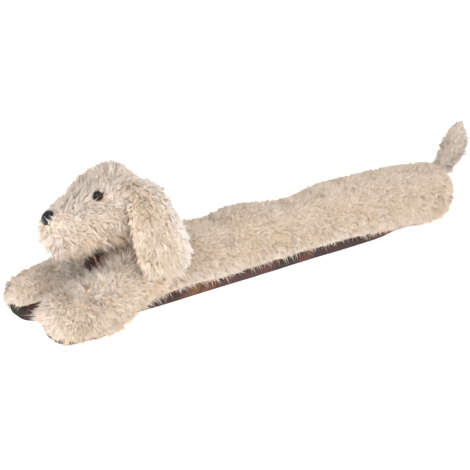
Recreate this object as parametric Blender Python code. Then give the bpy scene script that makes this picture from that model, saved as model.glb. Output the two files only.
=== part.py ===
"""Draught excluder: a long plush dog that lies along the foot of a door.

X runs along the tube with the nose toward -X, Y runs across it with the dog's left side
toward -Y, and Z is up. The origin is on the floor under the middle of the tube, on the
flat underside of the check cloth. Every furry piece reaches as far as its pile does.
"""

import functools
import math

import bmesh
import bpy
import numpy as np

# Driving dimensions, in metres
GAP = 0.0003  # left between pieces that touch
CLOTH = 0.002  # check cloth with its backing
PILE = 0.006  # how far the fur stands out past the base cloth beside it
SOLE_PILE = 0.003  # the same, past the sole cloth
FLOOR_ROOM = 0.001  # fur hangs this far off the floor that the check cloth lies on
REACH = 0.030  # how far a cloth's pocket runs out of the fur it is let into

TUBE_FRONT = -0.338
TUBE_REAR = 0.466
TUBE_RINGS = 54
TUBE_SIDES = 36
TUBE_END_POWER = 2.6  # above 2 makes the ends blunter than a ball
TUBE_FRONT_DOME = 0.050
TUBE_REAR_DOME = 0.060
BELLY_SINK = 0.055  # share of the tube's height that its own weight presses flat
END_STEPS = 0.16  # share of a tube's rings that each of its domes takes

HEAD_CENTRE = (-0.290, 0.0, 0.165)
HEAD_BLEND = 0.009
HEAD_SIDES = 40
HEAD_RINGS = 26
HEAD_SEARCH = 0.25  # the skin is looked for this far from the centre
HEAD_HALVINGS = 24

EYE_RADIUS = 0.0060
NOSE_RADII = (0.0085, 0.0150, 0.0120)
NOSE_TILT = 0.55  # radians that the nose looks up by

# Pile unevenness: tufts are lumps a hand can feel, ruffles are single clumps of pile
TUFT_PITCH = 0.034
TUFT_DEPTH = 0.0022
SWELL_PITCH = 0.150
SWELL_DEPTH = 0.0022
RUFFLE = 0.0011

# Tube: how its fur widens and rises along its length
TUBE_ROWS = (
    # x, half width, crown height
    (-0.315, 0.056, 0.112),
    (-0.230, 0.061, 0.120),
    (-0.149, 0.062, 0.121),
    (-0.108, 0.060, 0.117),
    (-0.064, 0.063, 0.125),
    (-0.030, 0.063, 0.125),
    (0.035, 0.061, 0.118),
    (0.090, 0.060, 0.117),
    (0.146, 0.063, 0.125),
    (0.238, 0.065, 0.128),
    (0.300, 0.064, 0.126),
    (0.384, 0.062, 0.121),
    (0.466, 0.058, 0.116),
)

# Base cloth: how far it reaches up each side, as an angle from straight down
BASE_ROWS = (
    # x, degrees
    (-0.306, 30.0),
    (-0.260, 56.0),
    (-0.100, 63.0),
    (0.180, 63.0),
    (0.260, 54.0),
    (0.330, 43.0),
    (0.380, 30.0),
    (0.410, 12.0),
)
BASE_STRIPS = 26
BASE_BREADTHS = 10
BASE_ROUND = 0.058  # radius that turns a breadth of this cloth into an angle

# Chest cloth: a rounded patch on the tube's front end
CHEST_LOW = 0.012
CHEST_HIGH = 0.100
CHEST_HALF_WIDTH = 0.037
CHEST_POWER = 2.6
CHEST_RINGS = (0.35, 0.7, 1.0)  # as shares of its half width
CHEST_SIDES = 24
CHEST_FULLEST = 0.97  # keeps the patch off the dome's steep rim

# Head: overlapping balls that blend into one form
HEAD_BALLS = (
    # x, z, radius along, radius across, radius up
    (-0.289, 0.180, 0.048, 0.070, 0.061),
    (-0.244, 0.152, 0.046, 0.060, 0.053),
    (-0.331, 0.165, 0.052, 0.055, 0.044),
    (-0.367, 0.152, 0.046, 0.043, 0.040),
)
EYE_PLACE = (-0.3345, 0.0305, 0.2065)
NOSE_PLACE = (-0.3990, 0.0, 0.1775)

# Forelegs, from the shoulder to the front of the paw
LEG_ROWS = (
    # x, out from the middle, half width, lowest z, highest z
    (-0.225, 0.044, 0.028, 0.046, 0.092),
    (-0.245, 0.045, 0.038, 0.034, 0.112),
    (-0.275, 0.047, 0.044, 0.020, 0.118),
    (-0.305, 0.049, 0.045, 0.009, 0.112),
    (-0.345, 0.053, 0.045, 0.000, 0.097),
    (-0.385, 0.058, 0.045, 0.000, 0.088),
    (-0.420, 0.062, 0.043, 0.000, 0.083),
)
LEG_FRONT = -0.446
LEG_FRONT_DOME = 0.042
LEG_BACK_DOME = 0.030
LEG_END_POWER = 2.3
LEG_SPREAD = {"left": 0.1, "right": 1.0}  # the left leg lies straighter than the right
LEG_MEET = 0.003  # neither leg crosses this plane between them
LEG_RINGS = 22
LEG_SIDES = 24
LEG_SINK = 0.06

# Sole cloth, as angles from straight down
SOLE_ROWS = (
    # x, degrees up the outer side, degrees up the inner side
    (-0.327, 18.0, 32.0),
    (-0.342, 25.0, 54.0),
    (-0.358, 28.0, 76.0),
    (-0.378, 30.0, 90.0),
    (-0.405, 30.0, 94.0),
    (-0.432, 30.0, 84.0),
)
SOLE_STRIPS = 10
SOLE_BREADTHS = 8
SOLE_ROUND = 0.045  # radius that turns a breadth of this cloth into an angle

# Ears hang from the top of the head, down its side and over the shoulder
EAR_ROWS = (
    # x, out from the middle, z, half width, half thickness
    (-0.288, 0.040, 0.218, 0.012, 0.006),
    (-0.283, 0.052, 0.210, 0.024, 0.009),
    (-0.277, 0.067, 0.194, 0.034, 0.011),
    (-0.271, 0.077, 0.170, 0.041, 0.012),
    (-0.265, 0.083, 0.143, 0.045, 0.012),
    (-0.260, 0.085, 0.118, 0.044, 0.012),
    (-0.256, 0.085, 0.098, 0.035, 0.011),
    (-0.255, 0.085, 0.087, 0.017, 0.008),
)
EAR_RINGS = 22
EAR_SIDES = 20
EAR_LOCK = 0.0022
EAR_PLUSH = 0.7  # share of the tube's unevenness

# Tail, from its root in the tube's rear end to its tip
TAIL_ROWS = (
    # x, z, radius
    (0.430, 0.086, 0.014),
    (0.452, 0.104, 0.017),
    (0.470, 0.124, 0.023),
    (0.480, 0.146, 0.026),
    (0.488, 0.168, 0.023),
    (0.492, 0.182, 0.014),
)
TAIL_RINGS = 16
TAIL_SIDES = 16
TAIL_PLUSH = 0.8
TIP_SHARE = 0.6  # how far a padded form's tip stands past its end ring, by its thickness

SIDES = {"left": -1, "right": 1}

CREAM = (0.74, 0.63, 0.50)
CHECK = (0.07, 0.045, 0.04)
BLACK = (0.010, 0.010, 0.012)


def clear_scene():
    for old in list(bpy.data.objects):
        bpy.data.objects.remove(old)


def material(name, colour, roughness):
    made = bpy.data.materials.new(name)
    made.use_nodes = True
    shader = made.node_tree.nodes["Principled BSDF"]
    shader.inputs["Base Color"].default_value = (*colour, 1.0)
    shader.inputs["Roughness"].default_value = roughness
    shader.inputs["Metallic"].default_value = 0.0
    return made


def unit(vectors):
    return vectors / np.linalg.norm(vectors, axis=-1, keepdims=True)


def column(rows, index):
    return np.array([row[index] for row in rows])


def along(rows, index, x):
    """One column of a table at each x, on a smooth curve through its rows."""
    places = column(rows, 0)
    values = column(rows, index)
    if places[0] > places[-1]:
        places, values = places[::-1], values[::-1]
    slopes = np.gradient(values, places)
    i = np.clip(np.searchsorted(places, x) - 1, 0, len(places) - 2)
    step = places[i + 1] - places[i]
    t = np.clip((x - places[i]) / step, 0.0, 1.0)
    rise = (2 * t**3 - 3 * t**2 + 1) * values[i] + (3 * t**2 - 2 * t**3) * values[i + 1]
    lean = (t**3 - 2 * t**2 + t) * slopes[i] + (t**3 - t**2) * slopes[i + 1]
    return rise + lean * step


def waves(points, pitch, turns):
    """A smooth lumpy field between about -1 and 1: plane waves that run six ways."""
    total = np.zeros(points.shape[:-1])
    for turn in range(turns):
        angle = 2.4 * turn + 0.3
        lift = math.cos(1.7 * turn + 0.5)
        way = np.array([math.cos(angle), math.sin(angle), lift])
        way = way / np.linalg.norm(way)
        total = total + np.sin(2 * math.pi * (points @ way) / pitch + 1.9 * turn)
    return total / math.sqrt(2.0 * turns)


def plush(points, outward, seed, share=1.0):
    """Moves a smooth skin in and out as uneven pile does, and keeps it off the floor."""
    ruffle = np.random.default_rng(seed).uniform(-1.0, 1.0, points.shape[:-1])
    lift = TUFT_DEPTH * waves(points, TUFT_PITCH, 6)
    lift = lift + SWELL_DEPTH * waves(points, SWELL_PITCH, 4)
    lift = lift + RUFFLE * ruffle
    moved = points + outward * (share * lift)[..., None]
    moved[..., 2] = np.maximum(moved[..., 2], FLOOR_ROOM)
    return moved


def new_object(name, points, faces, skin):
    mesh = bpy.data.meshes.new(name)
    mesh.from_pydata(np.reshape(points, (-1, 3)).tolist(), [], faces)
    mesh.validate()
    form = bmesh.new()
    form.from_mesh(mesh)
    bmesh.ops.delete(form, geom=[v for v in form.verts if not v.link_faces], context="VERTS")
    bmesh.ops.recalc_face_normals(form, faces=form.faces)
    bmesh.ops.triangulate(form, faces=form.faces)
    if form.calc_volume(signed=True) < 0:
        bmesh.ops.reverse_faces(form, faces=form.faces)
    form.to_mesh(mesh)
    form.free()
    mesh.shade_smooth()
    made = bpy.data.objects.new(name, mesh)
    made.data.materials.append(skin)
    bpy.context.scene.collection.objects.link(made)
    return made


def ringed(name, rings, first_tip, last_tip, skin):
    """A closed form through rings of points, with a tip point past each end ring."""
    count, sides = rings.shape[:2]
    points = np.vstack([rings.reshape(-1, 3), first_tip, last_tip])
    faces = []
    for i in range(count - 1):
        for j in range(sides):
            a, b = i * sides + j, i * sides + (j + 1) % sides
            faces += [(a, b, b + sides), (a, b + sides, a + sides)]
    tip = count * sides
    last = (count - 1) * sides
    for j in range(sides):
        k = (j + 1) % sides
        faces.append((tip, k, j))
        faces.append((tip + 1, last + j, last + k))
    return new_object(name, points, faces, skin)


def slab(name, layers, skin):
    """A closed sheet between the first and last of some grids, its rim passing through them all."""
    rows, columns = layers[0].shape[:2]
    size = rows * columns
    last = (len(layers) - 1) * size
    points = np.vstack([layer.reshape(-1, 3) for layer in layers])
    faces = []
    for i in range(rows - 1):
        for j in range(columns - 1):
            a = i * columns + j
            b = a + columns
            for low in (0, last):
                faces += [(low + a, low + a + 1, low + b + 1), (low + a, low + b + 1, low + b)]
    rim = list(range(columns))
    rim += [i * columns + columns - 1 for i in range(1, rows)]
    rim += [(rows - 1) * columns + j for j in range(columns - 2, -1, -1)]
    rim += [i * columns for i in range(rows - 2, 0, -1)]
    for low in range(0, last, size):
        for a, b in zip(rim, rim[1:] + rim[:1]):
            faces.append((low + a, low + b, low + size + b, low + size + a))
    return new_object(name, points, faces, skin)


def moved_out(points, inside, offset, rim):
    """A grid moved away from the points called inside; its rim rows move as their neighbours do."""
    core, middle = points, inside
    for axis, wide in enumerate(rim):
        keep = range(wide[0], points.shape[axis] - wide[1])
        core, middle = core.take(keep, axis=axis), middle.take(keep, axis=axis)
    across = unit(np.cross(np.gradient(core, axis=0), np.gradient(core, axis=1)))
    across = across * np.sign(np.sum(across * (core - middle), axis=-1, keepdims=True))
    return points + np.pad(across, (*rim, (0, 0)), mode="edge") * offset


def dome(x, start, end, start_dome, end_dome, power):
    """How full a tube is at each x, from 0 at its tips to 1 between its domes."""
    near_start = np.clip(1.0 - np.abs(x - start) / start_dome, 0.0, 1.0)
    near_end = np.clip(1.0 - np.abs(end - x) / end_dome, 0.0, 1.0)
    return (1.0 - near_start**power) ** (1 / power) * (1.0 - near_end**power) ** (1 / power)


def section(angle, half_width, height, sink):
    """A round section that rests on the floor, pressed flat there; angle 0 is straight down."""
    middle = height * 0.5
    low = middle * (1.0 + sink)
    down = np.where(np.cos(angle) > 0, low, middle)
    return half_width * np.sin(angle), np.maximum(middle - down * np.cos(angle), 0.0)


def tube_surface(x, angle, inset=0.0, pressed=BELLY_SINK):
    """The tube's skin at each x and angle, drawn in by an inset under its pile."""
    full = dome(x, TUBE_FRONT, TUBE_REAR, TUBE_FRONT_DOME, TUBE_REAR_DOME, TUBE_END_POWER)
    half_width = along(TUBE_ROWS, 1, x) - inset
    height = along(TUBE_ROWS, 2, x) - inset
    y, z = section(angle, half_width, height, pressed)
    middle = height * 0.5
    return np.stack([x, y * full, middle + (z - middle) * full], axis=-1)


def eased(start, end, count, start_dome, end_dome):
    """Places along a tube, closer together in its two domes, its tips left out."""
    steps = np.linspace(0.0, 1.0, count + 2)[1:-1]
    length = end - start
    a, b = start_dome / length, end_dome / length
    near = np.clip(steps / END_STEPS, 0.0, 1.0)
    far = np.clip((1.0 - steps) / END_STEPS, 0.0, 1.0)
    middle = np.clip((steps - END_STEPS) / (1.0 - 2 * END_STEPS), 0.0, 1.0)
    along_tube = a * (1.0 - np.cos(near * math.pi / 2)) + b * np.cos(far * math.pi / 2)
    return start + length * (along_tube + (1.0 - a - b) * middle)


def build_tube(skin):
    x = eased(TUBE_FRONT, TUBE_REAR, TUBE_RINGS, TUBE_FRONT_DOME, TUBE_REAR_DOME)
    angle = np.linspace(0.0, 2 * math.pi, TUBE_SIDES, endpoint=False)
    rings = tube_surface(x[:, None] + 0 * angle, angle + 0 * x[:, None])
    middle = along(TUBE_ROWS, 2, x) * 0.5
    spine = np.stack([x, 0 * x, middle], axis=-1)[:, None, :]
    rings = plush(rings, unit(rings - spine), seed=3)
    first_tip, last_tip = (TUBE_FRONT, 0.0, middle[0]), (TUBE_REAR, 0.0, middle[-1])
    return ringed("body", rings, first_tip, last_tip, skin)


def widened(values, margin):
    """The same values along the last axis, with one more at each end when there is a margin."""
    if margin == 0.0:
        return values
    toward = np.sign(values[..., -1:] - values[..., :1]) * margin
    return np.concatenate([values[..., :1] - toward, values, values[..., -1:] + toward], axis=-1)


def base_grid(offset, margin):
    """The base cloth's surface, moved outward by an offset and widened by a margin."""
    x = widened(np.linspace(BASE_ROWS[0][0], BASE_ROWS[-1][0], BASE_STRIPS + 1), margin)
    reach = np.radians(along(BASE_ROWS, 1, x))[:, None]
    angle = widened(reach * np.linspace(-1.0, 1.0, BASE_BREADTHS + 1), margin / BASE_ROUND)
    points = tube_surface(x[:, None] + 0 * angle, angle, inset=PILE)
    spine = points * (1.0, 0.0, 0.0) + (0.0, 0.0, BASE_ROUND)
    rim = int(margin > 0)
    return moved_out(points, spine, offset, ((rim, rim), (rim, rim)))


def chest_grid(offset, margin):
    """The chest cloth's surface on the tube's front end, moved forward by an offset."""
    turn = np.linspace(0.0, 2 * math.pi, CHEST_SIDES, endpoint=False)
    edge = (1.0 + margin / CHEST_HALF_WIDTH,) if margin > 0 else ()
    ring = np.array(CHEST_RINGS + edge)[:, None]
    middle_z = (CHEST_LOW + CHEST_HIGH) / 2
    out_y = np.sign(np.sin(turn)) * np.abs(np.sin(turn)) ** (2 / CHEST_POWER)
    out_z = np.sign(np.cos(turn)) * np.abs(np.cos(turn)) ** (2 / CHEST_POWER)
    y = ring * out_y * CHEST_HALF_WIDTH
    z = middle_z + ring * out_z * (CHEST_HIGH - middle_z)
    height = TUBE_ROWS[0][2] - PILE
    share = np.hypot(y / (TUBE_ROWS[0][1] - PILE), (z - height / 2) / (height / 2))
    share = np.clip(share, 0.0, CHEST_FULLEST)
    domed = 1 - (1 - share**TUBE_END_POWER) ** (1 / TUBE_END_POWER)
    x = TUBE_FRONT + PILE + TUBE_FRONT_DOME * domed
    points = np.stack([x, y, z], axis=-1)
    points = np.concatenate([points[:, -1:], points, points[:, :1]], axis=1)
    inside = 0 * points + (x.max() + TUBE_FRONT_DOME, 0.0, middle_z)
    return moved_out(points, inside, offset, ((0, len(edge)), (0, 0)))[:, 1:-1]


def patch(name, layers, skin):
    """A closed round sheet between sets of rings, each with a point at its middle."""
    rings, sides = layers[0].shape[:2]
    size = rings * sides + 1
    last = (len(layers) - 1) * size
    points = []
    for layer in layers:
        hub = layer[0].mean(axis=0) * (0.0, 1.0, 1.0) + (layer[0, :, 0].min(), 0.0, 0.0)
        points += [layer.reshape(-1, 3), hub[None]]
    faces = []
    for j in range(sides):
        k = (j + 1) % sides
        for i in range(rings - 1):
            for low in (0, last):
                a, b = low + i * sides + j, low + i * sides + k
                faces += [(a, b, b + sides), (a, b + sides, a + sides)]
        for low in (0, last):
            faces.append((low + size - 1, low + k, low + j))
        for low in range(0, last, size):
            a, b = low + (rings - 1) * sides + j, low + (rings - 1) * sides + k
            faces.append((a, b, size + b, size + a))
    return new_object(name, np.vstack(points), faces, skin)


def globe(lean, turn):
    """Directions all round: lean is the angle from straight ahead, turn goes about that."""
    across = np.sin(lean)
    return np.stack([-np.cos(lean) + 0 * turn, across * np.sin(turn), across * np.cos(turn)], -1)


def head_distance(points):
    """How far each point is outside the head's blended balls, negative inside."""
    total = np.zeros(points.shape[:-1])
    for x, z, along_x, across, up in HEAD_BALLS:
        radii = np.array([along_x, across, up])
        reach = np.linalg.norm((points - (x, 0.0, z)) / radii, axis=-1)
        total = total + np.exp(-(reach - 1.0) * radii.min() / HEAD_BLEND)
    return -HEAD_BLEND * np.log(total)


def build_head(skin):
    """Rings about the head's own long axis, each point pushed out to the blended form."""
    turn = np.linspace(0.0, 2 * math.pi, HEAD_SIDES, endpoint=False)
    lean = np.linspace(0.0, math.pi, HEAD_RINGS + 2)[1:-1, None]
    ways = np.vstack([globe(lean, turn).reshape(-1, 3), [(-1.0, 0.0, 0.0), (1.0, 0.0, 0.0)]])
    near, far = np.zeros(len(ways)), np.full(len(ways), HEAD_SEARCH)
    for _ in range(HEAD_HALVINGS):
        middle = (near + far) / 2
        outside = head_distance(np.array(HEAD_CENTRE) + ways * middle[:, None]) > 0
        near, far = np.where(outside, near, middle), np.where(outside, middle, far)
    points = plush(np.array(HEAD_CENTRE) + ways * near[:, None], ways, seed=5)
    rings = points[:-2].reshape(HEAD_RINGS, HEAD_SIDES, 3)
    return ringed("head", rings, points[-2], points[-1], skin)


def leg_middle(x, name):
    root = LEG_ROWS[0][1]
    return SIDES[name] * (root + LEG_SPREAD[name] * (along(LEG_ROWS, 1, x) - root))


def leg_surface(x, angle, name, inset=0.0, pressed=LEG_SINK):
    """A foreleg's skin at each x and angle; a positive angle is on its inner side."""
    back = LEG_ROWS[0][0]
    full = dome(x, LEG_FRONT, back, LEG_FRONT_DOME, LEG_BACK_DOME, LEG_END_POWER)
    half_width = along(LEG_ROWS, 2, x) - inset
    low = np.maximum(along(LEG_ROWS, 3, x), 0.0)
    height = along(LEG_ROWS, 4, x) - low - inset
    y, z = section(angle, half_width, height, pressed)
    middle = height * 0.5
    across = leg_middle(x, name) - SIDES[name] * y * full
    return np.stack([x, across, low + middle + (z - middle) * full], axis=-1)


def build_leg(name, skin):
    back = LEG_ROWS[0][0]
    x = eased(LEG_FRONT, back, LEG_RINGS, LEG_FRONT_DOME, LEG_BACK_DOME)
    angle = np.linspace(0.0, 2 * math.pi, LEG_SIDES, endpoint=False)
    rings = leg_surface(x[:, None] + 0 * angle, angle + 0 * x[:, None], name)
    middle = (along(LEG_ROWS, 3, x) + along(LEG_ROWS, 4, x)) / 2
    spine = np.stack([x, leg_middle(x, name), middle], axis=-1)
    side = SIDES[name]
    rings = plush(rings, unit(rings - spine[:, None, :]), seed=7 + side)
    rings[..., 1] = LEG_MEET + side * np.maximum(side * (rings[..., 1] - LEG_MEET), GAP / 2)
    first_tip, last_tip = (LEG_FRONT, spine[0, 1], middle[0]), (back, spine[-1, 1], middle[-1])
    return ringed("paw_" + name, rings, first_tip, last_tip, skin)


def sole_surface(name, offset, margin):
    """The sole cloth's surface, moved outward by an offset and widened by a margin."""
    x = widened(np.linspace(SOLE_ROWS[0][0], SOLE_ROWS[-1][0], SOLE_STRIPS + 1), margin)
    outer = np.radians(along(SOLE_ROWS, 1, x))[:, None]
    inner = np.radians(along(SOLE_ROWS, 2, x))[:, None]
    across = np.linspace(0.0, 1.0, SOLE_BREADTHS + 1)
    angle = widened((outer + inner) * across - outer, margin / SOLE_ROUND)
    points = leg_surface(x[:, None] + 0 * angle, angle, name, inset=SOLE_PILE)
    middle = np.stack([x, leg_middle(x, name), 0 * x + SOLE_ROUND], axis=-1)
    rim = int(margin > 0)
    return moved_out(points, middle[:, None, :] + 0 * points, offset, ((rim, rim), (rim, rim)))


def swept(spine, wide, thick, half_width, half_thick, sides, seed, share):
    """Oval rings around a spine, with their own width and thickness ways, and two tips."""
    angle = np.linspace(0.0, 2 * math.pi, sides, endpoint=False)
    across = np.cos(angle)[None, :, None] * (wide * half_width[:, None])[:, None, :]
    through = np.sin(angle)[None, :, None] * (thick * half_thick[:, None])[:, None, :]
    rings = spine[:, None, :] + across + through
    rings = plush(rings, unit(rings - spine[:, None, :]), seed, share)
    first_tip = spine[0] + unit(spine[0] - spine[1]) * half_thick[0] * TIP_SHARE
    last_tip = spine[-1] + unit(spine[-1] - spine[-2]) * half_thick[-1] * TIP_SHARE
    return rings, first_tip, last_tip


def smooth_rows(rows, count):
    """A table of rows read at even steps of its own length, on a smooth curve."""
    table = np.array(rows)
    steps = np.arange(len(rows), dtype=float)
    indexed = [(step, *row) for step, row in zip(steps, table)]
    places = np.linspace(0.0, len(rows) - 1.0, count)
    return np.stack([along(indexed, i + 1, places) for i in range(table.shape[1])], axis=-1)


def build_ear(name, side, skin):
    rows = smooth_rows(EAR_ROWS, EAR_RINGS)
    spine = rows[:, :3] * (1.0, side, 1.0)
    way = unit(np.gradient(spine, axis=0))
    wide = unit(np.array([1.0, 0.0, 0.0]) - way * way[:, :1])
    thick = np.cross(way, wide)
    seed = 11 + side
    half_width = rows[:, 3] + EAR_LOCK * np.random.default_rng(seed).uniform(-1.0, 1.0, EAR_RINGS)
    form = swept(spine, wide, thick, half_width, rows[:, 4], EAR_SIDES, seed, EAR_PLUSH)
    return ringed(name, *form, skin)


def build_tail(skin):
    rows = smooth_rows(TAIL_ROWS, TAIL_RINGS)
    spine = np.stack([rows[:, 0], 0 * rows[:, 0], rows[:, 1]], axis=-1)
    way = unit(np.gradient(spine, axis=0))
    wide = np.tile([0.0, 1.0, 0.0], (len(rows), 1))
    radius = rows[:, 2]
    form = swept(spine, wide, np.cross(way, wide), radius, radius, TAIL_SIDES, 17, TAIL_PLUSH)
    return ringed("tail", *form, skin)


def ball(name, place, radii, tilt, skin, sides, rings):
    """An egg-shaped bead, tilted about Y."""
    turn = np.linspace(0.0, 2 * math.pi, sides, endpoint=False)
    lean = np.linspace(0.0, math.pi, rings + 2)[:, None]
    s, c = math.sin(tilt), math.cos(tilt)
    turned = np.array([[c, 0.0, s], [0.0, 1.0, 0.0], [-s, 0.0, c]])
    points = (globe(lean, turn) * radii) @ turned.T + place
    return ringed(name, points[1:-1], points[0, 0], points[-1, 0], skin)


def grown(source, by):
    """A hidden copy of a piece with its skin moved outward, used to cut its neighbours."""
    copy = bpy.data.objects.new("cut_" + source.name, source.data.copy())
    form = bmesh.new()
    form.from_mesh(copy.data)
    form.normal_update()
    ways = [(v, v.normal.copy()) for v in form.verts]
    for vert, way in ways:
        vert.co += way * by
    form.to_mesh(copy.data)
    form.free()
    return hidden(copy)


def hidden(guide):
    guide.hide_render = True
    guide.display_type = "WIRE"
    if guide.name not in bpy.context.scene.collection.objects:
        bpy.context.scene.collection.objects.link(guide)
    return guide


def largest_body(mesh):
    """Keeps the biggest connected body of a mesh, so that no cut-off scrap stays."""
    form = bmesh.new()
    form.from_mesh(mesh)
    left = set(form.verts)
    bodies = []
    while left:
        body = {left.pop()}
        edge = list(body)
        while edge:
            vert = edge.pop()
            found = {link.other_vert(vert) for link in vert.link_edges} & left
            left -= found
            body |= found
            edge += found
        bodies.append(body)
    biggest = max(bodies, key=len)
    bmesh.ops.delete(form, geom=[v for v in form.verts if v not in biggest], context="VERTS")
    form.to_mesh(mesh)
    form.free()


def carve(target, cutters):
    """Cuts each cutter out of a piece and keeps the result as its mesh."""
    for cutter in cutters:
        cut = target.modifiers.new("cut", "BOOLEAN")
        cut.operation = "DIFFERENCE"
        cut.solver = "EXACT"
        cut.object = cutter
    bpy.context.view_layer.update()
    graph = bpy.context.evaluated_depsgraph_get()
    mesh = bpy.data.meshes.new_from_object(target.evaluated_get(graph))
    target.modifiers.clear()
    target.data = mesh
    largest_body(mesh)


def cloth(grid):
    """The two faces of a cloth that lies on a grid."""
    return [grid(0.0, 0.0), grid(-CLOTH, 0.0)]


def pocket(grid):
    """Room for that cloth with a gap all round it, open to the outside."""
    return [grid(-CLOTH - GAP, GAP), grid(GAP, GAP), grid(REACH, GAP)]


def build():
    clear_scene()
    fur = material("plush", CREAM, 0.95)
    check = material("check cloth", CHECK, 0.85)
    bead = material("black bead", BLACK, 0.15)

    tube = build_tube(fur)
    legs = {name: build_leg(name, fur) for name in SIDES}
    head = build_head(fur)
    whole_tube, whole_head = grown(tube, GAP), grown(head, GAP)
    whole_legs = [grown(leg, GAP) for leg in legs.values()]

    slab("base_panel", cloth(base_grid), check)
    patch("chest_panel", cloth(chest_grid), check)
    base_pocket = hidden(slab("cut_base", pocket(base_grid), check))
    chest_pocket = hidden(patch("cut_chest", pocket(chest_grid), check))
    carve(tube, [base_pocket, chest_pocket])

    base_room = hidden(slab("cut_base_room", pocket(base_grid)[:2], check))
    chest_room = hidden(patch("cut_chest_room", pocket(chest_grid)[:2], check))
    for name, leg in legs.items():
        sole_grid = functools.partial(sole_surface, name)
        slab("sole_" + name, cloth(sole_grid), check)
        sole_pocket = hidden(slab("cut_sole", pocket(sole_grid), check))
        carve(leg, [sole_pocket, whole_tube, base_room, chest_room])

    nose = ball("nose", NOSE_PLACE, NOSE_RADII, NOSE_TILT, bead, 16, 9)
    eyes = []
    for name, side in SIDES.items():
        place = np.array(EYE_PLACE) * (1.0, side, 1.0)
        eyes.append(ball("eye_" + name, place, (EYE_RADIUS,) * 3, 0.0, bead, 12, 7))
    pockets = [grown(piece, GAP) for piece in [nose] + eyes]
    carve(head, pockets + [whole_tube] + whole_legs)

    for name, side in SIDES.items():
        ear = build_ear("ear_" + name, side, fur)
        carve(ear, [whole_head, whole_tube] + whole_legs)
    carve(build_tail(fur), [whole_tube])


build()
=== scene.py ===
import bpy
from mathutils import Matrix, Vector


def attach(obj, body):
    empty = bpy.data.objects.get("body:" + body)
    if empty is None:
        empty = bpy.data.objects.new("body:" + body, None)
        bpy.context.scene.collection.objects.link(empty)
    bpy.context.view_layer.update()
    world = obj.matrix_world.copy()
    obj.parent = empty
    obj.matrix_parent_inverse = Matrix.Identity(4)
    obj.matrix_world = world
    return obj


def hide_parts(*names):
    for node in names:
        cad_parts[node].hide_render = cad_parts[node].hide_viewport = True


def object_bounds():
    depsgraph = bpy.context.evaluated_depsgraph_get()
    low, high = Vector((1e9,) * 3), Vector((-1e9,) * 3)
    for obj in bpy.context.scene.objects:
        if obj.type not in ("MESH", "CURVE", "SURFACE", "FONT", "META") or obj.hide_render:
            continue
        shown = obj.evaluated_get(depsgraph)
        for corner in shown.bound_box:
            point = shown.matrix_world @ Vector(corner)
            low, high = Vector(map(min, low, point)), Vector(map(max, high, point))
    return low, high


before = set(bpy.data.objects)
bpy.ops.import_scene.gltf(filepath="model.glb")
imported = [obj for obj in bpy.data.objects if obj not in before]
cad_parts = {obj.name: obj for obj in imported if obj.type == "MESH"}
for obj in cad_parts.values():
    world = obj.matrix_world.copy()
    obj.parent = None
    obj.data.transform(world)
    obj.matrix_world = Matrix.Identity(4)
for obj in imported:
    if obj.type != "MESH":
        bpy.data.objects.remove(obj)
cad_box = [list(corner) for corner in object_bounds()]

import math

import bpy
import numpy as np
from mathutils import Matrix, Vector

# Looks of a plush draught excluder: stuffed forms under long fur, check cloth, glossy beads.
# X runs along the tube with the nose toward -X, the dog's left side is toward -Y, Z is up.
# Each furry form is a function of two shares: u from its first end to its last, v around it.

# Forms, in metres: the solids' named sizes and tables, trimmed to the photo where fur hides them
TUBE_FRONT, TUBE_REAR = -0.338, 0.463
TUBE_DOMES = (0.050, 0.060)  # how far its front and rear end round off
TUBE_POWER = 2.6
BELLY_SINK = 0.055  # share by which its round section is pressed into the floor
HEEL_PLACE, HEEL_REACH, HEEL_RISE = 0.325, 0.048, 0.0075  # where its underside lifts, and how far
TUBE_ROWS = np.array((
    # x, half width, crown height
    (-0.315, 0.056, 0.112),
    (-0.230, 0.061, 0.120),
    (-0.149, 0.062, 0.121),
    (-0.108, 0.060, 0.117),
    (-0.064, 0.063, 0.125),
    (-0.030, 0.063, 0.125),
    (0.035, 0.061, 0.118),
    (0.090, 0.060, 0.117),
    (0.146, 0.063, 0.125),
    (0.238, 0.065, 0.128),
    (0.300, 0.064, 0.126),
    (0.384, 0.062, 0.121),
    (0.463, 0.058, 0.116),
))
BASE_ROWS = np.array((
    # x, degrees that the base cloth reaches up each side from straight down
    (-0.306, 30.0),
    (-0.260, 56.0),
    (-0.100, 63.0),
    (0.180, 63.0),
    (0.260, 54.0),
    (0.330, 43.0),
    (0.380, 30.0),
    (0.410, 12.0),
))
CHEST_LOW, CHEST_HIGH, CHEST_HALF_WIDTH, CHEST_POWER = 0.012, 0.104, 0.040, 3.6
CHEST_ROUND = (0.066, 0.062)  # half width and half height over which the front end curves away
HEAD_CENTRE = np.array((-0.290, 0.0, 0.165))
HEAD_BLEND = 0.009  # softness of the joins between the head's balls
HEAD_RAY = 0.25  # longer than any ray from its centre to its surface
HALVINGS = 20
HEAD_BALLS = (
    # x, z, radius along, radius across, radius up
    (-0.289, 0.180, 0.048, 0.070, 0.061),
    (-0.244, 0.152, 0.046, 0.060, 0.053),
    (-0.331, 0.165, 0.052, 0.055, 0.044),
    (-0.367, 0.152, 0.046, 0.043, 0.040),
)
EYE_PLACE = np.array((-0.3345, 0.0305, 0.2065))
EYE_RADIUS = 0.0060
BEAD_REACH = (0.011, 0.011, 0.018)  # round the two eyes and the nose
EAR_ROOT = (-0.286, 0.047, 0.213)
NOSE_PLACE = np.array((-0.3990, 0.0, 0.1775))
NOSE_RADII = (0.0082, 0.0114, 0.0118)
NOSE_TILT = 0.55
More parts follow.
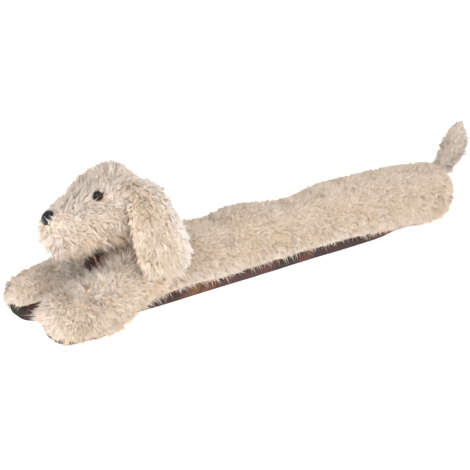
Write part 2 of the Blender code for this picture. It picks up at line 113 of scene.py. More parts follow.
LEG_ROWS = np.array((
    # x, out from the middle, half width, lowest z, highest z
    (-0.225, 0.044, 0.028, 0.050, 0.092),
    (-0.245, 0.045, 0.037, 0.042, 0.112),
    (-0.275, 0.046, 0.041, 0.029, 0.118),
    (-0.305, 0.048, 0.043, 0.015, 0.112),
    (-0.345, 0.053, 0.045, 0.000, 0.097),
    (-0.385, 0.058, 0.045, 0.002, 0.088),
    (-0.420, 0.062, 0.043, 0.004, 0.083),
))
LEG_FRONT = -0.446
LEG_DOMES = (0.042, 0.030)
LEG_POWER = 2.3
LEG_SPREAD = {"left": 0.1, "right": 1.0}  # share of the table's splay that each leg has
LEG_MEET = 0.003  # off the middle plane, where the legs touch
LEG_SINK = 0.06
SOLE_ROWS = np.array((
    # x, degrees up the outer side, degrees up the inner side
    (-0.327, 18.0, 32.0),
    (-0.342, 25.0, 60.0),
    (-0.358, 28.0, 84.0),
    (-0.378, 30.0, 96.0),
    (-0.405, 30.0, 96.0),
    (-0.437, 30.0, 80.0),
))
EAR_ROWS = np.array((
    # x, out from the middle, z, half width, half thickness
    (-0.288, 0.040, 0.218, 0.012, 0.006),
    (-0.283, 0.052, 0.210, 0.024, 0.009),
    (-0.277, 0.067, 0.194, 0.034, 0.011),
    (-0.271, 0.077, 0.170, 0.041, 0.012),
    (-0.265, 0.083, 0.143, 0.045, 0.012),
    (-0.260, 0.085, 0.118, 0.044, 0.012),
    (-0.256, 0.085, 0.098, 0.035, 0.011),
    (-0.255, 0.085, 0.087, 0.017, 0.008),
))
TAIL_ROWS = np.array((
    # x, out from the middle, z, half width, half thickness
    (0.430, 0.0, 0.086, 0.014, 0.014),
    (0.457, 0.0, 0.104, 0.016, 0.016),
    (0.477, 0.0, 0.124, 0.020, 0.020),
    (0.490, 0.0, 0.146, 0.021, 0.021),
    (0.497, 0.0, 0.164, 0.018, 0.018),
    (0.498, 0.0, 0.176, 0.012, 0.012),
))
SIDES = {"left": -1, "right": 1}

# Soft spots in the fur: x, y, z, reach, length against the rest, uprightness
HEAD_SPOTS = (
    (-0.316, 0.028, 0.232, 0.019, 0.32, 0.0),
    (-0.338, 0.021, 0.212, 0.012, 1.65, 0.8),
    (-0.262, 0.020, 0.222, 0.028, 0.60, 0.0),
    (-0.262, -0.020, 0.222, 0.028, 0.60, 0.0),
    (-0.290, 0.004, 0.240, 0.016, 1.60, 0.8),
    (-0.305, 0.035, 0.122, 0.028, 1.50, 1.0),
    (-0.305, -0.035, 0.122, 0.028, 1.50, 1.0),
    (-0.396, 0.000, 0.180, 0.020, 0.45, 0.1),
    (-0.390, -0.010, 0.128, 0.026, 0.95, 0.7),
)
PAW_SPOTS = {
    "left": (
        (-0.280, -0.085, 0.035, 0.040, 0.55, 0.0),
        (-0.345, -0.090, 0.016, 0.026, 1.25, 0.7),
        (-0.340, -0.010, 0.085, 0.024, 0.85, 0.4),
        (-0.296, -0.040, 0.110, 0.026, 1.50, 0.9),
    ),
    "right": (
        (-0.410, 0.092, 0.070, 0.050, 0.50, 0.0),
        (-0.375, 0.055, 0.095, 0.034, 0.72, 0.0),
        (-0.335, 0.018, 0.085, 0.030, 0.70, 0.0),
        (-0.290, 0.045, 0.112, 0.024, 1.40, 0.9),
    ),
}
EAR_CORNERS = (
    (-0.228, 0.088, 0.100, 0.020, 1.9, 0.0),
    (-0.286, 0.088, 0.094, 0.018, 1.5, 0.0),
    (-0.230, 0.083, 0.165, 0.030, 0.70, 0.0),
)
LUMPS = ((0.034, 6, 0.0022), (0.150, 4, 0.0022))  # pitch, directions and depth
LUMPS_LEFT = 0.6  # share of the lumps' depth that the cloth under the fur keeps
END_STEPS = 0.16  # share of a tube's rings that each of its domes takes
OUTSIDE = -0.02  # depth that stands for well outside a form

# Depths in metres: how deep each cloth lies under the tips of the fur around it
FLOOR_ROOM = 0.0008
CLOTH = 0.0016
PILE = 0.006
SOLE_PILE = 0.003
PLUSH_DEPTH = 0.0095
HEAD_DEPTH, EAR_DEPTH, TAIL_DEPTH = 0.0085, 0.0055, 0.009
BEAD_SINK = 0.6  # share of that depth left out round the beads
PROUD = np.array((0.022, 0.0075, 0.0160))  # how far a lock may pass the solids' own box

# Locks: lengths against their coat's, angles in degrees, the rest in shares
ROOT_DEPTH = 0.001  # metres under the cloth
LOCK_SPREAD, WISP_SPREAD = (0.75, 1.15), (1.1, 2.2)
LEADER_LENGTH, LEADER_STAND = 1.22, 0.25
WISP_STAND, WISP_WIDTH, WISP_LEAN = 0.45, 0.45, 0.3
STEEPEST_RISE, STEEPEST_DROOP = 80, 64
RISE_SPREAD, DROOP_SPREAD = 9, 12
BEND = 0.45  # where along a lock it bends over
SWIRLS = ((0.055, 1.0, 0.0), (0.024, 0.8, 0.1))  # pitch, weight and shift of the combing's waves
OWN_CURL, SHARED_CURL = 0.5, 0.65
LENGTH_LEAST, LENGTH_TUFTED = 0.94, 0.30
LEAN_SPREAD, LEAN_LEAST, LEAN_TUFTED, LEAN_MOST = (0.4, 1.3), 0.65, 2.0, 0.85
MIDDLE_LEAN = 0.35  # share of a tip's lean that the lock's middle follows
TUFT_SHADE = 0.35  # share of a lock's shade that its whole tuft has
WIDTH_SPREAD = (0.7, 1.25)
SOFTNESS = 0.58  # how far a lock is shaded like the cloth it grows from


def unit(vectors):
    return vectors / np.maximum(np.linalg.norm(vectors, axis=-1, keepdims=True), 1e-12)


def along(rows, index, x):
    """One column of a table at each x, on the cubic curve whose slopes are its neighbours' mean."""
    places, values = rows[:, 0], rows[:, index]
    if places[0] > places[-1]:
        places, values = places[::-1], values[::-1]
    slopes = np.gradient(values, places)
    i = np.clip(np.searchsorted(places, x) - 1, 0, len(places) - 2)
    step = places[i + 1] - places[i]
    t = np.clip((x - places[i]) / step, 0.0, 1.0)
    rise = (2 * t**3 - 3 * t**2 + 1) * values[i] + (3 * t**2 - 2 * t**3) * values[i + 1]
    lean = (t**3 - 2 * t**2 + t) * slopes[i] + (t**3 - t**2) * slopes[i + 1]
    return rise + lean * step


def waves(points, pitch, turns):
    """A lumpy field between about -1 and 1: sines of one pitch, each in its own direction."""
    total = np.zeros(points.shape[:-1])
    for turn in range(turns):
        angle = 2.4 * turn + 0.3
        way = unit(np.array([math.cos(angle), math.sin(angle), math.cos(1.7 * turn + 0.5)]))
        total = total + np.sin(2 * math.pi * (points @ way) / pitch + 1.9 * turn)
    return total / math.sqrt(2.0 * turns)


def eased(share, start, end, domes):
    """Places from start to end, closer together in the two domes, where they follow a cosine."""
    length = end - start
    a, b = domes[0] / length, domes[1] / length
    near = np.clip(share / END_STEPS, 0.0, 1.0)
    far = np.clip((1.0 - share) / END_STEPS, 0.0, 1.0)
    middle = np.clip((share - END_STEPS) / (1.0 - 2 * END_STEPS), 0.0, 1.0)
    gone = a * (1.0 - np.cos(near * math.pi / 2)) + b * np.cos(far * math.pi / 2)
    return start + length * (gone + (1.0 - a - b) * middle)


def dome(x, start, end, domes, power):
    """Fullness of a tube: a superellipse from 0 at each tip to 1 past its dome."""
    near = np.clip(1.0 - (x - start) / domes[0], 0.0, 1.0)
    far = np.clip(1.0 - (end - x) / domes[1], 0.0, 1.0)
    return (1.0 - near**power) ** (1 / power) * (1.0 - far**power) ** (1 / power)


def section(angle, half_width, height, sink):
    """A round section, pressed flat on its floor; angle 0 is straight down."""
    middle = height * 0.5
    down = np.where(np.cos(angle) > 0, middle * (1.0 + sink), middle)
    return half_width * np.sin(angle), np.maximum(middle - down * np.cos(angle), 0.0)


def tube(u, v, inset=0.0):
    """The tube: a pressed round section times its dome, shrunk by the inset, and its spine."""
    start, end = TUBE_FRONT + inset, TUBE_REAR - inset
    x = eased(u, start, end, TUBE_DOMES)
    full = dome(x, start, end, TUBE_DOMES, TUBE_POWER)
    return tube_at(x, v * 2 * math.pi, inset, full)


def tube_at(x, angle, inset, full):
    """Points of the tube at places along it and angles round it, as full as its dome says."""
    half_width, height = along(TUBE_ROWS, 1, x), along(TUBE_ROWS, 2, x)
    y, z = section(angle, half_width, height, BELLY_SINK)
    middle = height * 0.5
    share = full * (1.0 - inset / middle)
    spine = np.stack([x, 0 * x, middle], axis=-1)
    z = middle + (z - middle) * share
    return np.stack([x, y * share, z + heel_lift(x, z, height)], axis=-1), spine


def heel_lift(x, z, height):
    """How far the tube's underside lifts where its base cloth ends: a bell curve along it."""
    near = np.exp(-(((x - HEEL_PLACE) / HEEL_REACH) ** 2))
    return HEEL_RISE * near * np.clip(1.0 - 2 * z / height, 0.0, 1.0)


def leg_middle(x, name):
    """The line along a leg's middle: its root's place, plus a share of the table's splay."""
    root = LEG_ROWS[0, 1]
    return SIDES[name] * (root + LEG_SPREAD[name] * (along(LEG_ROWS, 1, x) - root))


def leg(name):
    """A foreleg: a pressed round section times its dome, shrunk by the inset, and its spine."""

    def form(u, v, inset=0.0):
        start, end = LEG_FRONT + inset, LEG_ROWS[0, 0]
        x = eased(u, start, end, LEG_DOMES)
        full = dome(x, start, end, LEG_DOMES, LEG_POWER)
        return leg_at(name, x, v * 2 * math.pi, inset, full)

    return form


def leg_at(name, x, angle, inset, full):
    """Points of a leg at places along it and angles round it, kept off the middle plane."""
    low = np.maximum(along(LEG_ROWS, 3, x), 0.0)
    height = along(LEG_ROWS, 4, x) - low
    y, z = section(angle, along(LEG_ROWS, 2, x), height, LEG_SINK)
    middle = height * 0.5
    share = full * (1.0 - inset / middle)
    centre = leg_middle(x, name)
    across = centre - SIDES[name] * y * share
    meet = SIDES[name] * (across - LEG_MEET)
    across = LEG_MEET + SIDES[name] * np.maximum(meet, inset)
    spine = np.stack([x, centre, low + middle], axis=-1)
    return np.stack([x, across, low + middle + (z - middle) * share], axis=-1), spine


def beads_near(points):
    """How near each point is to an eye or the nose: a bell curve, 1 at their middles."""
    places = [EYE_PLACE * (1, side, 1) for side in SIDES.values()] + [NOSE_PLACE]
    total = np.zeros(points.shape[:-1])
    for place, wide in zip(places, BEAD_REACH):
        away = np.linalg.norm(points - place, axis=-1)
        total = np.maximum(total, np.exp(-((away / wide) ** 2)))
    return total


def head_distance(points):
    """Distance outside the head: a soft minimum, by summed exponentials, over its balls."""
    total = np.zeros(points.shape[:-1])
    for x, z, long, wide, tall in HEAD_BALLS:
        radii = np.array([long, wide, tall])
        reach = np.linalg.norm((points - (x, 0.0, z)) / radii, axis=-1)
        total = total + np.exp(-(reach - 1.0) * radii.min() / HEAD_BLEND)
    return -HEAD_BLEND * np.log(total)


def head(u, v, inset=0.0):
    """The head: rays from its centre, halved down to where its distance is minus the inset."""
    lean, turn = u * math.pi, v * 2 * math.pi
    across = np.sin(lean)
    ways = np.stack([-np.cos(lean) + 0 * turn, across * np.sin(turn), across * np.cos(turn)], -1)
    near, far = np.zeros(ways.shape[:-1]), np.full(ways.shape[:-1], HEAD_RAY)
    for _ in range(HALVINGS):
        middle = (near + far) / 2
        points = HEAD_CENTRE + ways * middle[..., None]
        deep = inset * (1.0 - BEAD_SINK * beads_near(points))
        outside = head_distance(points) + deep > 0
        near, far = np.where(outside, near, middle), np.where(outside, middle, far)
    return HEAD_CENTRE + ways * near[..., None], HEAD_CENTRE + 0 * ways


FLAP_ENDS, FLAP_CAP = 0.05, 0.07  # share past each end of its rows, and share that is rounded
FLAP_STEP = 0.004
FLAP_LEAST = 0.002  # metres that the inset leaves of its half width and half thickness


def flap(rows, side):
    """A padded flap: an oval carried down a curved spine, rounded off at both its ends."""
    table = np.column_stack([np.arange(len(rows)), rows * (1, side, 1, 1, 1)])
    last = len(rows) - 1.0

    def spine_at(t):
        inside = np.clip(t, 0.0, 1.0)
        return np.stack([along(table, i, inside * last) for i in (1, 2, 3)], axis=-1)

    def form(u, v, inset=0.0):
        t = u * (1 + 2 * FLAP_ENDS) - FLAP_ENDS
        inside = np.clip(t, FLAP_STEP, 1.0 - FLAP_STEP)
        way = spine_at(inside + FLAP_STEP) - spine_at(inside - FLAP_STEP)
        past = (t - np.clip(t, 0.0, 1.0)) / (2 * FLAP_STEP)
        spine = spine_at(t) + way * past[..., None]
        way = unit(way)
        wide = unit(np.array([1.0, 0.0, 0.0]) - way * way[..., :1])
        if rows is TAIL_ROWS:
            wide = np.array([0.0, 1.0, 0.0]) + 0 * way
        thick = np.cross(way, wide)
        end = np.clip(np.minimum(u, 1 - u) / FLAP_CAP, 0.0, 1.0)
        full = np.sqrt(1.0 - (1.0 - end) ** 2)
        half_width = np.maximum(along(table, 4, inside * last) - inset, FLAP_LEAST) * full
        half_thick = np.maximum(along(table, 5, inside * last) - inset, FLAP_LEAST) * full
        angle = v * 2 * math.pi
        out = wide * (np.cos(angle) * half_width)[..., None]
        out = out + thick * (np.sin(angle) * half_thick)[..., None]
        return spine + out, spine

    return form


def furry(form, inset):
    """A form under its pile: drawn in by the inset, with the solid's own lumps added."""

    def skin(u, v):
        outer, _ = form(u, v)
        inner, spine = form(u, v, inset)
        lumps = sum(depth * waves(outer, pitch, turns) for pitch, turns, depth in LUMPS)
        moved = inner + unit(inner - spine) * (LUMPS_LEFT * lumps)[..., None]
        moved[..., 2] = np.maximum(moved[..., 2], CLOTH + FLOOR_ROOM)
        return moved

    return skin


def in_tube(points):
    """How deep each point lies in the tube, in metres, negative outside."""
    x = points[..., 0]
    full = np.maximum(dome(x, TUBE_FRONT, TUBE_REAR, TUBE_DOMES, TUBE_POWER), 1e-3)
    middle = along(TUBE_ROWS, 2, x) / 2
    wide = along(TUBE_ROWS, 1, x)
    reach = np.hypot(points[..., 1] / wide, (points[..., 2] - middle) / middle)
    inside = (x > TUBE_FRONT) & (x < TUBE_REAR)
    return np.where(inside, (full - reach) * middle, OUTSIDE)


def in_leg(name):
    """How deep each point lies in a foreleg, in metres, negative outside."""

    def depth(points):
        x = points[..., 0]
        full = np.maximum(dome(x, LEG_FRONT, LEG_ROWS[0, 0], LEG_DOMES, LEG_POWER), 1e-3)
        low, high = along(LEG_ROWS, 3, x), along(LEG_ROWS, 4, x)
        middle, tall = (low + high) / 2, (high - low) / 2
        aside = (points[..., 1] - leg_middle(x, name)) / along(LEG_ROWS, 2, x)
        reach = np.hypot(aside, (points[..., 2] - middle) / tall)
        inside = (x > LEG_FRONT) & (x < LEG_ROWS[0, 0])
        return np.where(inside, (full - reach) * tall, OUTSIDE)

    return depth


def in_head(points):
    """How deep each point lies in the head, in metres, negative outside."""
    return -head_distance(points)


def in_ear(name):
    """How deep each point lies in an ear, in metres: by the oval at its own height."""
    rows = EAR_ROWS[:, [2, 0, 1, 3, 4]][::-1]

    def depth(points):
        z = points[..., 2]
        x, y, wide, thick = (along(rows, i, z) for i in (1, 2, 3, 4))
        aside = np.hypot((points[..., 0] - x) / wide, (points[..., 1] * SIDES[name] - y) / thick)
        inside = (z > rows[0, 0]) & (z < rows[-1, 0])
        return np.where(inside, (1.0 - aside) * thick, OUTSIDE)

    return depth


def mesh_piece(name, points, faces, material):
    """One object from arrays of points and of faces, which are all triangles or all quads."""
    mesh = bpy.data.meshes.new(name)
    faces = np.asarray(faces, np.int32)
    count, corners = faces.shape
    mesh.vertices.add(len(points))
    mesh.vertices.foreach_set("co", np.asarray(points, np.float32).ravel())
    mesh.loops.add(count * corners)
    mesh.loops.foreach_set("vertex_index", faces.ravel())
    mesh.polygons.add(count)
    mesh.polygons.foreach_set("loop_start", np.arange(0, count * corners, corners, dtype=np.int32))
    mesh.update(calc_edges=True)
    mesh.validate()
    mesh.polygons.foreach_set("use_smooth", np.full(len(mesh.polygons), True))
    mesh.materials.append(material)
    made = bpy.data.objects.new(name, mesh)
    bpy.context.scene.collection.objects.link(made)
    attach(made, "root")
    return made


def closed_faces(rows, columns):
    """Triangles of a closed skin: rings of columns points, then a first and a last tip."""
    i, j = np.meshgrid(np.arange(rows - 1), np.arange(columns), indexing="ij")
    k = (j + 1) % columns
    a, b, c, d = i * columns + j, i * columns + k, (i + 1) * columns + k, (i + 1) * columns + j
    sides = np.concatenate([np.stack([a, b, c], -1), np.stack([a, c, d], -1)]).reshape(-1, 3)
    ring, after = np.arange(columns), (np.arange(columns) + 1) % columns
    tip, end = rows * columns + 0 * ring, (rows - 1) * columns
    first = np.stack([tip, after, ring], -1)
    last = np.stack([tip + 1, end + ring, end + after], -1)
    return np.concatenate([sides, first, last])


def outward(points, faces):
    """Triangles or quads, turned round if the skin they make encloses a negative volume."""
    halves = faces if faces.shape[1] == 3 else np.concatenate([faces[:, :3], faces[:, [0, 2, 3]]])
    a, b, c = (points[halves[:, i]] for i in range(3))
    return faces if np.sum(a * np.cross(b, c)) > 0 else faces[:, ::-1]


def skin_piece(name, skin, rows, columns, material):
    """The cloth under the fur as a closed skin: the form's rings and its two tips."""
    u = np.linspace(0.0, 1.0, rows + 2)[1:-1, None]
    v = np.linspace(0.0, 1.0, columns, endpoint=False)[None]
    rings = skin(u + 0 * v, v + 0 * u)
    tips = skin(np.array([0.0, 1.0]), np.array([0.0, 0.0]))
    points = np.concatenate([rings.reshape(-1, 3), tips])
    faces = outward(points, closed_faces(rows, columns))
    return mesh_piece(name, points, faces, material)


def scatter(skin, count, seed):
    """Random places on a skin, even by its area, with the way that is outward at each.

    Cells of a fine grid are drawn by their area, a place is drawn inside each, and the way
    out is the cross product of small steps along u and v there.
    """
    rng = np.random.default_rng(seed)
    rows, columns, step = 240, 120, 0.004
    u = np.linspace(0.0, 1.0, rows + 1)[:, None]
    v = np.linspace(0.0, 1.0, columns + 1)[None]
    grid = skin(u + 0 * v, v + 0 * u)
    area = np.cross(grid[1:, :-1] - grid[:-1, :-1], grid[:-1, 1:] - grid[:-1, :-1])
    area = np.linalg.norm(area, axis=-1).ravel()
    cell = rng.choice(area.size, count, p=area / area.sum())
    u_at = (cell // columns + rng.random(count)) / rows
    v_at = (cell % columns + rng.random(count)) / columns
    across = skin(np.clip(u_at + step, 0, 1), v_at) - skin(np.clip(u_at - step, 0, 1), v_at)
    around = skin(u_at, v_at + step) - skin(u_at, v_at - step)
    places = skin(u_at, v_at)
    out = unit(np.cross(across, around))
    volume = np.sum(out * (places - places.mean(axis=0)))
    return places, out * np.sign(volume)


BLOCK = 4000


def nearest(points, centres):
    """The index of the nearest centre to each point, worked out in blocks to spare memory."""
    found = []
    squares = np.sum(centres**2, axis=1)
    for block in np.array_split(points.astype(np.float32), max(1, len(points) // BLOCK)):
        away = squares - 2.0 * (block @ centres.T)
        found.append(np.argmin(away, axis=1))
    return np.concatenate(found)


def turned(ways, about, angle):
    """Vectors turned about unit axes at right angles to them."""
    c, s = np.cos(angle)[:, None], np.sin(angle)[:, None]
    return ways * c + np.cross(about, ways) * s


class Coat:
    """How one piece's fur stands: sizes in metres, angles in degrees over the skin, shares.

    rise and droop are the angles of a lock's lower and upper half; clump is the share of
    locks that lead a tuft, gather how far the others lean to them, and tufts how unevenly;
    swirl, curl and stray turn them, in radians; wisps is the share of longer, finer ones.
    """

    def __init__(self, length, width, rise, droop, **rest):
        self.length, self.width = length, width
        self.rise, self.droop = rise, droop
        self.clump = rest.get("clump", 0.045)
        self.gather = rest.get("gather", 0.42)
        self.swirl = rest.get("swirl", 0.45)
        self.curl = rest.get("curl", 0.70)
        self.stray = rest.get("stray", 0.30)
        self.wisps = rest.get("wisps", 0.15)
        self.tufts = rest.get("tufts", 0.75)


class Growth:
    """What changes over a piece's fur: where it is combed, how long and upright it is, how pale it
    is, which is mostly painted light, and where shade is painted on it.
    """

    def __init__(self, comb, longer=1.0, stand=0.0, pale=0.0, dusk=0.0):
        self.comb, self.longer, self.stand = comb, longer, stand
        self.pale, self.dusk = pale, dusk


def bell(points, centre, reach, mirrored=True):
    """A bell curve round a point, and its mirror image too if asked: 1 at their middles."""
    aside = (np.abs(points[:, 1]) if mirrored else points[:, 1]) - centre[1]
    away = (points[:, 0] - centre[0]) ** 2 + aside**2 + (points[:, 2] - centre[2]) ** 2
    return np.exp(-away / reach**2)


def spotted(places, spots):
    """Length and uprightness from a table of soft spots: 1 and 0 away from them all."""
    longer, stand = np.ones(len(places)), np.zeros(len(places))
    for *centre, reach, length, upright in spots:
        near = bell(places, centre, reach, mirrored=False)
        longer = longer * (1.0 + (length - 1.0) * near)
        stand = np.maximum(stand, upright * near)
    return longer, stand


def lock_lines(places, out, growth, coat, seed):
    """Root, middle and tip of every lock, its shade, and whether it is a longer, finer wisp.

    A lock leaves the skin at its rise and bends over before half way to its droop, both
    angles above the skin along the combed way, turned a little again at the bend; then its
    tip is drawn toward the tip of the lock that leads the nearest tuft.
    """
    rng = np.random.default_rng(seed)
    count = len(places)
    heads = rng.choice(count, max(8, int(count * coat.clump)), replace=False)
    near = heads[nearest(places, places[heads].astype(np.float32))]
    comb = growth.comb
    comb = unit(comb - out * np.sum(comb * out, axis=1, keepdims=True))
    swirl = sum(weight * waves(places + shift, pitch, 5) for pitch, weight, shift in SWIRLS)
    comb = turned(comb, out, coat.swirl * swirl + coat.stray * rng.normal(0, 1, count))
    own, shared = rng.normal(0, 1, count), rng.normal(0, 1, count)[near]
    bent = turned(comb, out, coat.curl * (OWN_CURL * own + SHARED_CURL * shared))
    wisp = rng.random(count) < coat.wisps * (1.0 + 2.0 * growth.stand)
    length = coat.length * rng.uniform(*LOCK_SPREAD, count)
    length = length * np.where(wisp, rng.uniform(*WISP_SPREAD, count), 1.0)
    tight = rng.random(count)[near] ** 2
    length = length * growth.longer * (LENGTH_LEAST + LENGTH_TUFTED * coat.tufts * tight)
    length[heads] = length[heads] * LEADER_LENGTH
    stand = np.clip(growth.stand + WISP_STAND * wisp, 0.0, 1.0)
    stand[heads] = np.clip(stand[heads] + LEADER_STAND, 0.0, 1.0)
    rise = coat.rise + (STEEPEST_RISE - coat.rise) * stand + rng.normal(0, RISE_SPREAD, count)
    droop = coat.droop + (STEEPEST_DROOP - coat.droop) * stand
    droop = droop + rng.normal(0, DROOP_SPREAD, count)
    rise, droop = np.radians(rise)[:, None], np.radians(droop)[:, None]
    first = out * np.sin(rise) + comb * np.cos(rise)
    second = out * np.sin(droop) + bent * np.cos(droop)
    middle = places + first * (BEND * length)[:, None]
    tip = middle + second * ((1.0 - BEND) * length)[:, None]
    gather = coat.gather * rng.uniform(*LEAN_SPREAD, count) * np.where(wisp, WISP_LEAN, 1.0)
    gather = gather * (LEAN_LEAST + LEAN_TUFTED * coat.tufts * tight)
    gather = np.clip(gather, 0.0, LEAN_MOST)[:, None]
    aim = tip[near] + out[near] * 0.001
    tip = tip + (aim - tip) * gather
    middle = middle + (middle[near] - middle) * gather * MIDDLE_LEAN
    shade = rng.random(count)[near] * TUFT_SHADE + rng.random(count) * (1.0 - TUFT_SHADE)
    return middle, tip, shade, wisp


def fur_piece(name, lines, out, width, looks, material, seed):
    """Locks as one mesh of spindles: a root point, a ring of three round the middle, a tip.

    Each ring stands at right angles to the line from root to tip, as wide as the lock is.
    The map has one small cell for each lock, so that a lock's own colours can be kept.
    """
    root, middle, tip = lines
    rng = np.random.default_rng(seed)
    count = len(root)
    axis = unit(tip - root)
    side = unit(np.cross(axis, out + 1e-4))
    top = np.cross(axis, side)
    spin = rng.uniform(0, 2 * math.pi, count)[:, None]
    half = (width * rng.uniform(*WIDTH_SPREAD, count) / 2)[:, None]
    ring = [
        middle + (side * np.cos(spin + turn) + top * np.sin(spin + turn)) * half
        for turn in (0.0, 2 * math.pi / 3, 4 * math.pi / 3)
    ]
    points = np.stack([root, *ring, tip], axis=1)
    points[..., 2] = np.maximum(points[..., 2], FLOOR_ROOM)
    step = np.arange(count, dtype=np.int32)[:, None, None] * 5
    faces = np.array([(0, 2, 1), (0, 3, 2), (0, 1, 3), (4, 1, 2), (4, 2, 3), (4, 3, 1)])
    faces = (faces[None] + step).reshape(-1, 3)
    made = mesh_piece(name, points.reshape(-1, 3), faces, material)
    mesh = made.data
    blank = np.zeros(count)
    kept = {key: np.repeat(value[:, None], 5, axis=1) for key, value in looks.items()}
    kept["tip"] = np.stack([blank, blank + BEND, blank + BEND, blank + BEND, blank + 1.0], 1)
    for key, value in kept.items():
        mesh.attributes.new(key, "FLOAT", "POINT").data.foreach_set(
            "value", value.astype(np.float32).ravel()
        )
    around = unit(points - (root + (tip - root) * 0.5)[:, None, :])
    soft = unit(out[:, None, :] * SOFTNESS + around * (1.0 - SOFTNESS))
    mesh.normals_split_custom_set_from_vertices(soft.reshape(-1, 3).astype(np.float32))
    cell_map(mesh, count)
    return made


def cell_map(mesh, count):
    """A square cell for each lock: its six faces side by side, root below and tip above."""
    across = math.ceil(math.sqrt(count))
    cell = np.arange(count)
    corner = np.stack([cell % across, cell // across], -1)[:, None, None, :]
    left = np.array([0.04, 0.35, 0.66])
    faces = [((x + 0.14, 0.04), (x + 0.28, 0.45), (x, 0.45)) for x in left]
    faces += [((x + 0.14, 0.96), (x, 0.50), (x + 0.28, 0.50)) for x in left]
    places = (corner + np.array(faces)[None]) / across
    layer = mesh.uv_layers.new(name="OFBake")
    layer.uv.foreach_set("vector", places.astype(np.float32).ravel())


class Amount:
    """A value in a material: wraps a node's output, and plain sums on it add Math nodes."""

    def __init__(self, paint, output):
        self.paint, self.output = paint, output

    def sum(self, operation, *values):
        inputs = dict(enumerate(values))
        return self.paint.node("Math", {"operation": operation}, inputs)

    def __add__(self, other):
        return self.sum("ADD", self, other)

    def __sub__(self, other):
        return self.sum("SUBTRACT", self, other)

    def __rsub__(self, other):
        return self.sum("SUBTRACT", other, self)

    def __mul__(self, other):
        return self.sum("MULTIPLY", self, other)

    def __truediv__(self, other):
        return self.sum("DIVIDE", self, other)

    __radd__ = __add__
    __rmul__ = __mul__


class Paint:
    """A material in the making, with one method that adds any node."""

    def __init__(self, name, **fixed):
        self.material = bpy.data.materials.new(name)
        self.material.use_nodes = True
        self.tree = self.material.node_tree
        self.shader = self.tree.nodes["Principled BSDF"]
        for key, value in fixed.items():
            eye_painted_shade = key.replace("_", " ").title().replace("Ior", "IOR")
            self.shader.inputs[eye_painted_shade].default_value = value

    def node(self, kind, settings=None, inputs=None, output=0):
        made = self.tree.nodes.new("ShaderNode" + kind)
        for key, value in (settings or {}).items():
            if key == "stops":
                ramp = made.color_ramp
                while len(ramp.elements) < len(value):
                    ramp.elements.new(0.5)
                for element, (place, _) in zip(ramp.elements, value):
                    element.position = place
                for element, (_, colour) in zip(ramp.elements, value):
                    element.color = (*colour, 1.0)
            elif key == "between":
                made.color_ramp.interpolation = value
            else:
                setattr(made, key, value)
        for key, value in (inputs or {}).items():
            if isinstance(value, Amount):
                self.tree.links.new(value.output, made.inputs[key])
            else:
                made.inputs[key].default_value = value
        return Amount(self, made.outputs[output])

    def into(self, eye_painted_shade, value):
        self.tree.links.new(value.output, self.shader.inputs[eye_painted_shade])

    def blend(self, share, first, second, how="MIX"):
        first, second = ((*c, 1.0) if isinstance(c, tuple) else c for c in (first, second))
        settings = {"data_type": "RGBA", "blend_type": how}
        return self.node("Mix", settings, {0: share, 6: first, 7: second}, output=2)

    def ramp(self, value, stops, between="LINEAR"):
        return self.node("ValToRGB", {"stops": stops, "between": between}, {0: value})

    def attribute(self, name):
        return self.node("Attribute", {"attribute_name": name}, output=2)

    def place(self):
        return self.node("TexCoord", output=3)

    def noise(self, scale, detail=2.0, rough=0.5):
        inputs = {"Vector": self.place(), "Scale": scale, "Detail": detail, "Roughness": rough}
        return self.node("TexNoise", None, inputs)

    def through(self, colour, share):
        """Lets a share of the light pass through, tinted by one even colour."""
        thin = self.node("BsdfTranslucent", None, {"Color": (*colour, 1.0)})
        solid = Amount(self, self.shader.outputs[0])
        both = self.node("MixShader", None, {0: share, 1: solid, 2: thin})
        self.tree.links.new(both.output, self.tree.nodes["Material Output"].inputs["Surface"])

    def bump(self, height, distance, strength=1.0):
        inputs = {"Height": height, "Distance": distance, "Strength": strength}
        self.into("Normal", self.node("Bump", None, inputs))


# Fur colours from the root up, and what they turn to in warm places, where light is painted on as
# paleness, and where shade is painted on as dark brown
FUR_ROOT = (0.82, 0.64, 0.48)
FUR_MIDDLE = (0.92, 0.78, 0.62)
FUR_TIP = (0.97, 0.905, 0.83)
FUR_WARM = (0.80, 0.665, 0.53)
FUR_PALE = (0.97, 0.91, 0.87)
FUR_PAINTED_SHADE = (0.050, 0.030, 0.022)
FUR_THROUGH = (0.88, 0.75, 0.61)
THROUGH = 0.28  # share of light that a lock lets through


def fur_paint():
    """Cream fur: warm at its roots, pale at its tips, in peach and paler patches of tufts, with
    light painted on as paleness and shade painted on as dark brown.
    """
    paint = Paint("cream_fur", roughness=0.9, specular_ior_level=0.06)
    tip, shade, pale, dusk = (paint.attribute(key) for key in ("tip", "shade", "pale", "dusk"))
    colour = paint.ramp(tip, [(0.0, FUR_ROOT), (0.42, FUR_MIDDLE), (1.0, FUR_TIP)])
    patches = paint.ramp(paint.noise(24.0, 4.0, 0.6), [(0.42, (0, 0, 0)), (0.64, (1, 1, 1))])
    flecks = paint.ramp(paint.noise(110.0, 2.0), [(0.46, (0, 0, 0)), (0.70, (1, 1, 1))])
    warm = (1.0 - shade) * 0.74 + (patches * 0.26 + flecks * 0.14) * (1.0 - pale) - 0.04
    colour = paint.blend(warm, colour, FUR_WARM, "MULTIPLY")
    # Painted light: the locks turn paler toward their tips where light is painted on, over tops,
    # fronts, seams, the tail and under the jaw; the ears' rear halves are paler too.
    colour = paint.blend(pale * tip, colour, FUR_PALE)
    # Painted shade: the locks darken to dark brown, most at the root, round the eyes and in the
    # folds by the ears.
    colour = paint.blend(dusk * (1.0 - tip * 0.5), colour, FUR_PAINTED_SHADE)
    light = shade * 0.20 + 0.90
    light = paint.node("CombineXYZ", None, {0: light, 1: light, 2: light})
    colour = paint.node("VectorMath", {"operation": "MULTIPLY"}, {0: colour, 1: light})
    paint.into("Base Color", colour)
    paint.through(FUR_THROUGH, THROUGH)
    return paint.material


